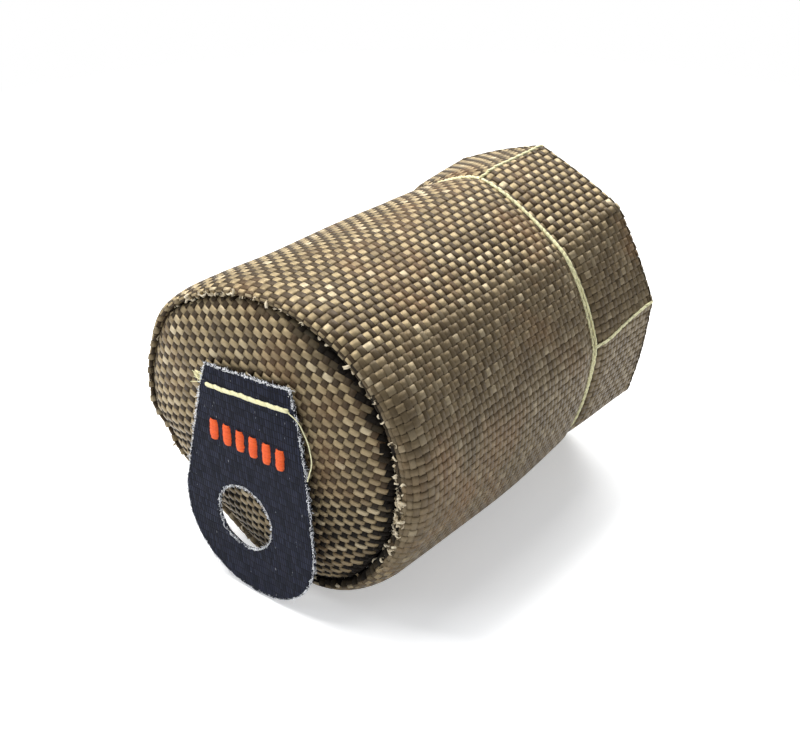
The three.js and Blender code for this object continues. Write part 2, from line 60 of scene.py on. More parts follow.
MM = 0.001
TURN = 2.0 * math.pi
HALF_LENGTH = 58.9  # the row frame's origin is under the middle of the sleeve
FLOAT_LENGTH = 1.42  # a tow on top of a cell dips under its neighbours at both ends

Colour = tuple[float, float, float]
Array = np.ndarray


def smoothstep(value: Array, low: float, high: float) -> Array:
    """Smooth rise from 0 at low to 1 at high."""
    t = np.clip((value - low) / (high - low), 0.0, 1.0)
    return t * t * (3.0 - 2.0 * t)


def lerp(first: Array, second: Array, share: Array) -> Array:
    """Value at a share of the way between two values."""
    return first + (second - first) * share


def unit(vectors: Array) -> Array:
    """Vectors brought to length one."""
    return vectors / np.maximum(np.linalg.norm(vectors, axis=-1, keepdims=True), 1e-12)


def in_row_frame(points: Array) -> Array:
    """Points in metres, with the origin under the middle of the sleeve."""
    moved = np.array(points, float)
    moved[..., 1] -= HALF_LENGTH
    return moved * MM


class TopTow(Enum):
    """Which tow lies on top at a crossing of the weave."""

    ALONG = 0
    ROUND = 1


class Socket:
    """An output socket of a node, with arithmetic that adds Math nodes."""

    def __init__(self, tree: Tree, output: bpy.types.NodeSocket) -> None:
        """Keeps the tree and the wrapped output."""
        self.tree = tree
        self.output = output

    def of(self, name: str) -> Socket:
        """Another output of the same node."""
        return Socket(self.tree, self.output.node.outputs[name])

    def __add__(self, other: Socket | float) -> Socket:
        """Sum."""
        return self.tree.math("ADD", self, other)

    __radd__ = __add__

    def __mul__(self, other: Socket | float) -> Socket:
        """Product."""
        return self.tree.math("MULTIPLY", self, other)

    __rmul__ = __mul__

    def __sub__(self, other: Socket | float) -> Socket:
        """Difference."""
        return self.tree.math("SUBTRACT", self, other)

    def __rsub__(self, other: Socket | float) -> Socket:
        """Difference from a number."""
        return self.tree.math("SUBTRACT", other, self)


Value = Socket | float | int | bool | tuple | bpy.types.ID


class Tree:
    """A node tree that is written as expressions."""

    def __init__(self, tree: bpy.types.NodeTree) -> None:
        """Empties and wraps a node tree."""
        self.tree = tree
        tree.nodes.clear()

    def add(
        self,
        kind: str,
        settings: dict | None = None,
        inputs: dict[str | int, Value] | None = None,
        output: str | int = 0,
    ) -> Socket:
        """Adds one node.

        Args:
            kind: The node's type name.
            settings: Properties that are set first; "stops" fills a colour ramp.
            inputs: Values or links of its sockets, by name or index.
            output: The output that is returned.

        Returns:
            The chosen output, wrapped.
        """
        node = self.tree.nodes.new(kind)
        for key, value in (settings or {}).items():
            if key == "stops":
                self._fill_ramp(node.color_ramp, value)
            else:
                setattr(node, key, value)
        for key, value in (inputs or {}).items():
            if isinstance(value, Socket):
                self.tree.links.new(value.output, node.inputs[key])
            else:
                node.inputs[key].default_value = value
        if not node.outputs:
            return Socket(self, None)
        return Socket(self, node.outputs[output])

    @staticmethod
    def _fill_ramp(ramp: bpy.types.ColorRamp, stops: list[tuple[float, Colour]]) -> None:
        """Gives a colour ramp its stops."""
        while len(ramp.elements) < len(stops):
            ramp.elements.new(1.0)
        for element, (place, colour) in zip(ramp.elements, stops):
            element.position = place
            element.color = (*colour, 1.0)

    def math(self, operation: str, *values: Socket | float) -> Socket:
        """A Math node."""
        return self.add("ShaderNodeMath", {"operation": operation}, dict(enumerate(values)))

    def mix(self, factor: Socket | float, first: Value, second: Value, blend: str = "MIX") -> Socket:
        """A colour between two colours."""
        settings = {"data_type": "RGBA", "blend_type": blend, "clamp_factor": True}
        sides = [(*side, 1.0) if isinstance(side, tuple) else side for side in (first, second)]
        return self.add("ShaderNodeMix", settings, {0: factor, 6: sides[0], 7: sides[1]}, 2)

    def attribute(self, name: str, output: str = "Fac") -> Socket:
        """An attribute of the shaded mesh."""
        return self.add("ShaderNodeAttribute", {"attribute_name": name}, output=output)

    def scaled(self, vector: Socket, scale: tuple[float, float, float], shift: Value = (0, 0, 0)) -> Socket:
        """A vector multiplied and moved, part by part."""
        settings = {"operation": "MULTIPLY_ADD"}
        return self.add("ShaderNodeVectorMath", settings, {0: vector, 1: scale, 2: shift})

    def noise(self, vector: Socket, scale: float, detail: float = 2.0, rough: float = 0.5) -> Socket:
        """Noise between 0 and 1."""
        inputs = {"Vector": vector, "Scale": scale, "Detail": detail, "Roughness": rough}
        return self.add("ShaderNodeTexNoise", None, inputs, "Fac")

    def ramp(self, factor: Socket, stops: list[tuple[float, Colour]]) -> Socket:
        """A colour read off a ramp."""
        return self.add("ShaderNodeValToRGB", {"stops": stops}, {"Fac": factor}, "Color")

    def bump(self, height: Socket, distance: float, strength: float = 1.0) -> Socket:
        """A normal bent by a height, in metres at the given distance."""
        inputs = {"Height": height, "Distance": distance, "Strength": strength}
        return self.add("ShaderNodeBump", None, inputs)


def object_place(tree: Tree) -> Socket:
    """Object coordinates, in metres."""
    return tree.add("ShaderNodeTexCoord", output="Object")


def new_material(name: str) -> tuple[bpy.types.Material, Tree]:
    """An empty node material and its tree."""
    material = bpy.data.materials.new(name)
    material.use_nodes = True
    return material, Tree(material.node_tree)


def principled(tree: Tree, inputs: dict[str, Value]) -> None:
    """Ends a material in a Principled shader."""
    shader = tree.add("ShaderNodeBsdfPrincipled", None, inputs)
    tree.add("ShaderNodeOutputMaterial", None, {"Surface": shader})


@dataclass(frozen=True)
class TowFinish:
    """Flat glossy tows of mineral fibre, each a little different in tone; their light and dark colours are
    painted sheen and painted shade, and a few carry a painted glint.
    """

    name: str = "woven_tow"
    # Painted sheen: colour of the tows whose direction catches the lamps.
    light: Colour = (0.47, 0.365, 0.205)
    # Painted glint, given to a few light tows.
    glint: Colour = (0.72, 0.62, 0.43)
    # Painted shade: colour of the tows whose direction misses the lamps; random tone also darkens tows
    # towards it.
    dark: Colour = (0.064, 0.042, 0.021)
    warm: Colour = (0.25, 0.135, 0.060)
    roughness: float = 0.33
    metallic: float = 0.38

    def material(self) -> bpy.types.Material:
        """Builds the material."""
        material, tree = new_material(self.name)
        fibre = tree.attribute("fibre", "Vector")
        tone = tree.attribute("tone")
        kind = tree.attribute("kind")
        place = object_place(tree)
        streaks = tree.noise(tree.scaled(fibre, (500.0, 11000.0, 1.0), place), 1.0, 3.0, 0.6)
        patches = tree.noise(place, 38.0, 3.0, 0.6)
        # Painted sheen and shade: light or dark colour by the tows' direction, from the kind attribute.
        base = tree.mix(kind, self.light, self.dark)
        worn = tree.mix(tree.math("POWER", tone, 2.0) * 0.6, base, self.dark)
        # Painted glint: a few light tows, picked by their random tone, get the glint colour.
        bright = tree.mix((0.17 - tone) * (1.0 - kind) * 4.0, worn, self.glint)
        warmed = tree.mix((patches - 0.53) * 2.6, bright, self.warm)
        colour = tree.mix(streaks * 0.34, warmed, (0.06, 0.042, 0.024))
        # Painted shade: near black in the crease, on the end panel's upright tows, and most in the panel's
        # lower part.
        depth = tree.attribute("sunk")
        sunk = tree.mix(depth, colour, (0.010, 0.007, 0.0045))
        principled(tree, {
            "Base Color": sunk,
            "Roughness": self.roughness + streaks * 0.2 + depth * 0.45,
            "Normal": tree.bump(streaks, 0.00008, 0.9),
            "Metallic": self.metallic,
            "Specular IOR Level": 0.30,
        })
        return material


@dataclass(frozen=True)
class CoreFinish:
    """Painted shade between the tows: the near-black colour of the cloth's body under them."""

    name: str = "weave_gap_painted_shade"
    # Near-black painted shade in the gaps of the weave.
    colour: Colour = (0.014, 0.010, 0.006)

    def material(self) -> bpy.types.Material:
        """Builds the material."""
        material, tree = new_material(self.name)
        grain = tree.noise(object_place(tree), 900.0, 2.0)
        colour = tree.mix(grain, self.colour, (0.036, 0.026, 0.016))
        principled(tree, {
            "Base Color": colour,
            "Roughness": 0.75 + grain * 0.2,
            "Normal": tree.bump(grain, 0.0002, 0.6),
        })
        return material


@dataclass(frozen=True)
class FineClothFinish:
    """Fine plain-woven cloth, drawn on the piece's own cloth coordinates in millimetres, with painted shade
    between its threads.
    """

    name: str = "fine_liner_cloth"
    light: Colour = (0.50, 0.44, 0.33)
    dark: Colour = (0.22, 0.185, 0.13)
    pitch: float = 0.95

    def material(self) -> bpy.types.Material:
        """Builds the material."""
        material, tree = new_material(self.name)
        cloth = tree.attribute("cloth", "Vector")
        parts = tree.add("ShaderNodeSeparateXYZ", None, {0: cloth}, "X")
        turn = math.pi / self.pitch
        over = tree.math("SINE", parts * turn) * tree.math("SINE", parts.of("Y") * turn)
        ridge_x = tree.math("ABSOLUTE", tree.math("SINE", parts * turn))
        ridge_y = tree.math("ABSOLUTE", tree.math("SINE", parts.of("Y") * turn))
        over_first = tree.math("GREATER_THAN", over, 0.0)
        height = ridge_x * over_first + ridge_y * (1.0 - over_first)
        patches = tree.noise(object_place(tree), 60.0, 3.0)
        tinted = tree.mix(patches * 0.6, self.light, (0.42, 0.36, 0.26))
        # Painted shade: darker where the weave's height is low, between the threads.
        colour = tree.mix(height, self.dark, tinted)
        principled(tree, {
            "Base Color": colour,
            "Roughness": 0.85 - height * 0.2,
            "Normal": tree.bump(height, 0.00022, 0.8),
        })
        return material


@dataclass(frozen=True)
class BattingFinish:
    """Soft needled batting."""

    name: str = "needled_batting"
    colour: Colour = (0.80, 0.77, 0.70)

    def material(self) -> bpy.types.Material:
        """Builds the material."""
        material, tree = new_material(self.name)
        fluff = tree.noise(object_place(tree), 420.0, 5.0, 0.7)
        colour = tree.mix(fluff * 0.7, self.colour, (0.62, 0.58, 0.50))
        principled(tree, {
            "Base Color": colour,
            "Roughness": 0.9 + fluff * 0.1,
            "Normal": tree.bump(fluff, 0.0012, 0.8),
        })
        return material


@dataclass(frozen=True)
class TabClothFinish:
    """Blue-black cloth in a fine steep twill, with pale specks where its warp shows and painted shade in
    the twill's grooves.
    """

    name: str = "tab_twill"
    dark: Colour = (0.0026, 0.0030, 0.0062)
    light: Colour = (0.027, 0.031, 0.055)
    rib_length: float = 0.0023
    rib_width: float = 0.00082

    def material(self) -> bpy.types.Material:
        """Builds the material."""
        material, tree = new_material(self.name)
        place = object_place(tree)
        parts = tree.add("ShaderNodeSeparateXYZ", None, {0: place}, "X")
        upright = tree.add(
            "ShaderNodeCombineXYZ", None, {"X": parts.of("Z"), "Y": parts + parts.of("Z") * 0.12}
        )
        ribs = tree.add(
            "ShaderNodeTexBrick",
            {"offset": 0.34, "offset_frequency": 1},
            {
                "Vector": upright, "Scale": 1.0, "Mortar Size": 0.00017, "Mortar Smooth": 1.0,
                "Brick Width": self.rib_length, "Row Height": self.rib_width,
                "Color1": (1.0, 1.0, 1.0, 1.0), "Color2": (0.2, 0.2, 0.2, 1.0),
                "Mortar": (0.0, 0.0, 0.0, 1.0), "Bias": 0.0,
            },
            "Color",
        )
        groove = ribs.of("Fac")
        grain = tree.noise(tree.scaled(place, (3200.0, 3200.0, 700.0)), 1.0, 3.0, 0.6)
        specks = tree.noise(tree.scaled(place, (1500.0, 1500.0, 520.0)), 1.0, 1.0, 0.4)
        # Each rib gets its own tone between dark and light; the grooves between the ribs get the dark
        # colour as painted shade.
        tinted = tree.mix(ribs, self.dark, self.light)
        grained = tree.mix(grain * 0.3, tinted, (0.020, 0.023, 0.040))
        speckled = tree.mix(tree.math("GREATER_THAN", specks, 0.765), grained, (0.24, 0.25, 0.28))
        # Painted shade: the grooves are darkened further, nearly to black.
        colour = tree.mix(groove * 0.75, speckled, (0.004, 0.0045, 0.007))
        height = (1.0 - groove) + grain * 0.35
        principled(tree, {
            "Base Color": colour,
            "Roughness": 0.62 + grain * 0.2,
            "Normal": tree.bump(height, 0.00026, 0.9),
            "Specular IOR Level": 0.12,
        })
        return material


@dataclass(frozen=True)
class FibreFinish:
    """Loose or spun fibre in one colour, with lighter and darker strands."""

    name: str
    light: Colour
    dark: Colour
    roughness: float = 0.6
    shine: float = 0.4

    def material(self) -> bpy.types.Material:
        """Builds the material."""
        material, tree = new_material(self.name)
        fibre = tree.attribute("fibre", "Vector")
        tone = tree.attribute("tone")
        place = object_place(tree)
        strands = tree.noise(tree.scaled(fibre, (700.0, 9000.0, 1.0), place), 1.0, 2.0, 0.6)
        toned = tree.mix(tone * 0.6, self.light, self.dark)
        colour = tree.mix(strands * 0.5, toned, self.dark)
        principled(tree, {
            "Base Color": colour,
            "Roughness": self.roughness + strands * 0.15,
            "Normal": tree.bump(strands, 0.00006, 0.7),
            "Specular IOR Level": self.shine,
        })
        return material


THREAD = FibreFinish("aramid_thread", (0.93, 0.90, 0.58), (0.72, 0.67, 0.38))
SATIN = FibreFinish("orange_satin", (1.0, 0.155, 0.014), (0.80, 0.085, 0.006), 0.42, 0.5)
FRAY = FibreFinish("pale_fray", (0.97, 0.98, 1.0), (0.80, 0.82, 0.86), 0.8, 0.2)
# Pale colour of the broken tow ends: painted glint on the same fibre as the tows.
LOOSE_TOW = FibreFinish("loose_tow_ends_painted_glint", (0.92, 0.82, 0.60), (0.40, 0.30, 0.17), 0.28, 0.8)


@dataclass
class Patch:
    """Points and faces of a mesh, in millimetres along the sleeve."""

    points: Array
    faces: list[tuple[int, ...]]

    def mesh(self, name: str) -> bpy.types.Mesh:
        """Makes the mesh, in the row frame."""
        mesh = bpy.data.meshes.new(name)
        mesh.from_pydata(in_row_frame(self.points).tolist(), [], self.faces)
        mesh.validate()
        mesh.update()
        return mesh


def lofted(rings: Array, looped: bool) -> Patch:
    """Skin through closed rings of equal length.

    Args:
        rings: Points as rings, points of a ring, and parts of a point.
        looped: True where the last ring joins the first.

    Returns:
        The skin, with one band of faces after the other.
    """
    count, around = rings.shape[:2]
    bands = count if looped else count - 1
    faces = []
    for band in range(bands):
        here = band * around
        there = ((band + 1) % count) * around
        for i in range(around):
            after = (i + 1) % around
            faces.append((here + i, here + after, there + after, there + i))
    return Patch(rings.reshape(-1, 3), faces)


def closed_to_middles(patch: Patch, around: int, middles: list[Array]) -> Patch:
    """Closes the first and the last ring of a skin, each to a point in its middle."""
    count = len(patch.points)
    last = count - around
    faces = list(patch.faces)
    for i in range(around):
        after = (i + 1) % around
        faces.append((count, after, i))
        faces.append((count + 1, last + i, last + after))
    return Patch(np.concatenate([patch.points, middles]), faces)


def float_sizes(is_round: Array, width: Array, height: Array, share: Array, rise: float) -> Array:
    """Sizes of the tows that lie on top.

    Args:
        is_round: True where the tow runs across the width of its cell.
        width: Width of each cell of the weave.
        height: Height of each cell.
        share: Share of its cell that a tow is broad.
        rise: Height of the weave's relief.

    Returns:
        Length, breadth and rise of each tow.
    """
    length = np.where(is_round, width, height)
    breadth = np.where(is_round, height, width)
    return np.column_stack([length * FLOAT_LENGTH, breadth * share, np.full(len(width), rise)])


def write_attribute(mesh: bpy.types.Mesh, name: str, kind: str, values: Array) -> None:
    """Stores one value or vector for each point of a mesh."""
    layer = mesh.attributes.new(name, kind, "POINT")
    key = "vector" if kind == "FLOAT_VECTOR" else "value"
    layer.data.foreach_set(key, np.ascontiguousarray(values, np.float32).ravel())


def dressed(name: str, mesh: bpy.types.Mesh, *materials: bpy.types.Material) -> bpy.types.Object:
    """A new object at the origin with smooth faces and its materials."""
    mesh.name = name
    for material in materials:
        if material.name not in [m.name for m in mesh.materials if m]:
            mesh.materials.append(material)
    mesh.polygons.foreach_set("use_smooth", [True] * len(mesh.polygons))
    made = bpy.data.objects.new(name, mesh)
    bpy.context.scene.collection.objects.link(made)
    return made


def facing_out(mesh: bpy.types.Mesh) -> bpy.types.Mesh:
    """Turns the faces of one closed mesh outwards."""
    volume = 0.0
    for face in mesh.polygons:
        corners = [mesh.vertices[k].co for k in face.vertices]
        for first, second in zip(corners[1:], corners[2:]):
            volume += corners[0].dot(first.cross(second))
    if volume < 0.0:
        mesh.flip_normals()
    return mesh


@dataclass(frozen=True)
class SleeveForm:
    """Shape of the sleeve, by the CAD source's named values in millimetres."""

    radius: float = 48.0
    length: float = 117.8
    stitch_place: float = 88.3
    taper_start: float = 12.0
    end_reach: float = 30.0
    flat_spot_sag: float = 1.2
    cloth: float = 1.2
    liner: float = 0.7
    bore: float = 76.6
    layer_gap: float = 0.3
    batting_gap: float = 0.5
    padding_setback: float = 5.0
    liner_flare: float = 9.0
    lip_depth: float = 4.0
    roll_height: float = 3.4
    roll_seat: float = 1.6
    shoulder_reach: float = 6.0
    roll_lean: float = 1.25
    panel_setback: float = -2.3
    panel_puff: float = 7.0
    liner_end: float = 6.0
    stitch_valley: float = 1.4
    valley_width: float = 3.6
    seam_angle: float = -142.0
    seam_depth: float = 0.5
    seam_width: float = 2.2
    crisp_at_stitches: float = 0.35
    crisp_at_rim: float = 0.8
    lump: float = 0.32
    skirt_at_stitches: tuple = (
        (-152, 45.0), (-112, 45.8), (-66, 46.2), (-33, 44.9), (8, 44.9),
        (47, 46.4), (90, 49.3), (128, 45.2), (168, 45.0),
    )
    skirt_at_rim: tuple = (
        (-152, 45.6), (-112, 46.2), (-66, 46.4), (-31, 45.6), (13, 46.2),
        (51, 48.5), (88, 49.9), (128, 46.2), (168, 46.0),
    )
    end_angles: tuple = (-160, -145, -120, -90, -60, -30, 0, 45, 90, 118, 140, 162, 180)
    end_walls: tuple = (46.8, 47.0, 47.8, 48, 48, 48, 48, 48, 48, 49.0, 50.2, 47.6, 47.0)
    end_creases: tuple = (
        44.0, 43.8, 43.6, 43.4, 43.0, 40.6, 40.0, 41.8, 44.0, 45.5, 47.0, 45.2, 44.8,
    )
    end_places: tuple = (-0.5, 2.2, 3.6, 2.2, 1.0, 1.5, 1.1, 0.2, -2.3, -4.0, -5.2, -5.2, -4.6)

    @property
    def axis_height(self) -> float:
        """Height of the sleeve's axis above the ground."""
        return self.radius - self.flat_spot_sag

    @property
    def liner_outer(self) -> float:
        """Outside of the liner round the filter."""
        return self.bore / 2 + self.liner

    @staticmethod
    def _between(degrees: tuple, angle: Array) -> tuple[Array, Array, Array, Array]:
        """Neighbouring knots of an angle, how far past the first it is, and their span."""
        knots = np.radians(np.array(degrees, float))
        turned = knots[0] + (angle - knots[0]) % TURN
        after = np.searchsorted(knots, turned, side="right")
        first = np.clip(after - 1, 0, len(knots) - 1)
        second = after % len(knots)
        far = np.where(after == len(knots), knots[0] + TURN, knots[second])
        return first, second, turned - knots[first], far - knots[first]

    def end_value(self, angle: Array, values: tuple) -> Array:
        """A value of the closed end's outline at any angle."""
        first, second, past, span = self._between(self.end_angles, angle)
        listed = np.array(values, float)
        return lerp(listed[first], listed[second], smoothstep(past / span, 0.0, 1.0))

    def skirt_radius(self, angle: Array, corners: tuple, crispness: float) -> Array:
        """Outline of the skirt, between round and straight-sided."""
        first, second, past, span = self._between(tuple(c[0] for c in corners), angle)
        radii = np.array([c[1] for c in corners], float)
        one, other = radii[first], radii[second]
        soft = lerp(one, other, smoothstep(past / span, 0.0, 1.0))
        straight = one * other * np.sin(span) / (one * np.sin(past) + other * np.sin(span - past))
        return lerp(soft, straight, crispness)

    def unevenness(self, angle: Array, y: Array) -> Array:
        """Soft lumps of the padding under the cloth."""
        waves = (
            np.sin(3 * angle + 0.055 * y)
            + 0.8 * np.sin(5 * angle - 0.09 * y + 1.3)
            + 0.6 * np.sin(2 * angle + 0.16 * y + 0.4)
            + 0.5 * np.sin(9 * angle + 0.12 * y + 2.1)
        )
        return self.lump * 0.5 * waves * smoothstep(np.sin(angle), -0.85, -0.4)

    def full_radius(self, angle: Array, y: Array) -> Array:
        """Outside of the wall before stitches and seam pull it in."""
        below = np.maximum(0.0, -np.sin(angle)) ** 2
        wall = self.end_value(angle, self.end_walls)
        padded = lerp(wall, self.radius, smoothstep(y, 0.0, self.end_reach))
        at_stitches = self.skirt_radius(angle, self.skirt_at_stitches, self.crisp_at_stitches)
        at_rim = self.skirt_radius(angle, self.skirt_at_rim, self.crisp_at_rim)
        drawn = np.clip((y - self.taper_start) / (self.stitch_place - self.taper_start), 0.0, 1.0)
        to_stitches = drawn ** (1 + 8 * below)
        to_rim = smoothstep(y, self.stitch_place, self.length)
        return lerp(lerp(padded, at_stitches, to_stitches), at_rim, to_rim)

    def wall_radius(self, angle: Array, y: Array) -> Array:
        """Outside of the woven wall."""
        down = np.maximum(-np.sin(angle), 1e-6)
        ground = np.where(np.sin(angle) < 0, self.axis_height / down, np.inf)
        full = self.full_radius(angle, y) + self.unevenness(angle, y)
        valley = self.stitch_valley * np.exp(-(((y - self.stitch_place) / self.valley_width) ** 2))
        away = (angle - math.radians(self.seam_angle) + math.pi) % TURN - math.pi
        seam = self.seam_depth * np.exp(-((away / math.radians(self.seam_width)) ** 2))
        return np.minimum(full, ground) - valley - seam

    def crease_radius(self, angle: Array) -> Array:
        """Radius of the crease round the end panel."""
        return self.end_value(angle, self.end_creases)

    def crease_place(self, angle: Array) -> Array:
        """Place of the crease along the sleeve."""
        return self.end_value(angle, self.end_places)

    def roll(self, angle: Array, turn: Array) -> tuple[Array, Array]:
        """Radius and place of the rolled front edge; turn runs from crease to shoulder."""
        place = self.crease_place(angle)
        seat = np.where(turn < math.pi / 2, self.roll_seat, self.shoulder_reach)
        height = self.roll_height + seat - self.roll_seat
        outer = self.wall_radius(angle, place + self.shoulder_reach)
        share = ((1 - np.cos(turn)) / 2) ** self.roll_lean
        return lerp(self.crease_radius(angle), outer, share), place + seat - height * np.sin(turn)

    def point(self, angle: Array, radius: Array, y: Array) -> Array:
        """A point at an angle and radius round the axis."""
        x = radius * np.cos(angle)
        z = self.axis_height + radius * np.sin(angle)
        return np.stack([x, np.broadcast_to(y, x.shape), z], axis=-1)

    def panel_place(self, x: Array, z: Array, inset: float = 0.0) -> Array:
        """Front of the end panel over a point of the cross-section."""
        angle = np.arctan2(z - self.axis_height, x)
        reach = self.crease_radius(angle) - self.layer_gap
        share = np.minimum(1.0, np.hypot(x, z - self.axis_height) / reach)
        base = lerp(self.panel_setback, self.crease_place(angle), share**2)
        return base - (self.panel_puff - inset) * np.sqrt(np.maximum(0.0, 1 - share**3))

    def liner_radius(self, angle: Array, y: Array) -> Array:
        """Outside of the liner: round over the filter, flared out to the stitches."""
        flare = smoothstep(y, self.stitch_place - self.liner_flare, self.stitch_place - 1)
        under = self.wall_radius(angle, y) - self.cloth - self.layer_gap
        return lerp(self.liner_outer, under, flare)


def laying_tree() -> bpy.types.NodeTree:
    """The Geometry Nodes tree that lays one small piece at each point of a carrier.

    The carrier's points say which way the piece runs ("run"), which way it faces
    ("facing") and how large it is ("size").
    """
    group = bpy.data.node_groups.new("lay_pieces", "GeometryNodeTree")
    sockets = (
        ("Carrier", "NodeSocketGeometry"), ("Piece", "NodeSocketObject"),
        ("Wobble", "NodeSocketFloat"), ("Size spread", "NodeSocketFloat"),
        ("Seed", "NodeSocketInt"), ("Finish", "NodeSocketMaterial"),
    )
    for name, kind in sockets:
        group.interface.new_socket(name, in_out="INPUT", socket_type=kind)
    group.interface.new_socket("Laid", in_out="OUTPUT", socket_type="NodeSocketGeometry")
    tree = Tree(group)
    given = tree.add("NodeGroupInput")
    vector = {"data_type": "FLOAT_VECTOR"}
    run, facing, size = (
        tree.add("GeometryNodeInputNamedAttribute", vector, {"Name": name})
        for name in ("run", "facing", "size")
    )
    turned = tree.add(
        "FunctionNodeAxesToRotation",
        {"primary_axis": "Z", "secondary_axis": "X"},
        {0: facing, 1: run},
    )
    piece = tree.add("GeometryNodeObjectInfo", None, {"Object": given.of("Piece")}, "Geometry")
    laid = tree.add(
        "GeometryNodeInstanceOnPoints", None,
        {"Points": given, "Instance": piece, "Rotation": turned, "Scale": size},
    )
    spread = given.of("Size spread")
    grown = tree.add(
        "FunctionNodeRandomValue", {"data_type": "FLOAT"},
        {2: 1.0 - spread, 3: 1.0 + spread, "Seed": given.of("Seed")}, 1,
    )
    scaled = tree.add("GeometryNodeScaleInstances", None, {"Instances": laid, "Scale": grown})
    wobble = given.of("Wobble")
    swing = tree.add(
        "FunctionNodeRandomValue", {"data_type": "FLOAT"},
        {2: wobble * -1.0, 3: wobble, "Seed": given.of("Seed") + 1.0}, 1,
    )
    yaw = tree.add("ShaderNodeCombineXYZ", None, {"Z": swing})
    swung = tree.add("GeometryNodeRotateInstances", None, {"Instances": scaled, "Rotation": yaw})
    tone = tree.add(
        "FunctionNodeRandomValue", {"data_type": "FLOAT"},
        {2: 0.0, 3: 1.0, "Seed": given.of("Seed") + 2.0}, 1,
    )
    toned = tree.add(
        "GeometryNodeStoreNamedAttribute",
        {"data_type": "FLOAT", "domain": "INSTANCE"},
        {"Geometry": swung, "Name": "tone", "Value": tone},
    )
    real = tree.add("GeometryNodeRealizeInstances", None, {"Geometry": toned})
    finished = tree.add(
        "GeometryNodeSetMaterial", None, {"Geometry": real, "Material": given.of("Finish")}
    )
    tree.add("NodeGroupOutput", None, {0: finished})
    return group


@dataclass
class Laying:
    """Points to lay small pieces at, with their directions and sizes in millimetres."""

    points: Array
    run: Array
    facing: Array
    size: Array
    extra: dict[str, Array]

    def chosen(self, mask: Array) -> Laying:
        """The same for some of the points."""
        extra = {name: values[mask] for name, values in self.extra.items()}
        return Laying(self.points[mask], self.run[mask], self.facing[mask], self.size[mask], extra)

    def joined(self, other: Laying) -> Laying:
        """Both sets of points in one."""
        parts = [
            np.concatenate([mine, theirs])
            for mine, theirs in (
                (self.points, other.points), (self.run, other.run),
                (self.facing, other.facing), (self.size, other.size),
            )
        ]
        extra = {name: np.concatenate([self.extra[name], other.extra[name]]) for name in self.extra}
        return Laying(*parts, extra)


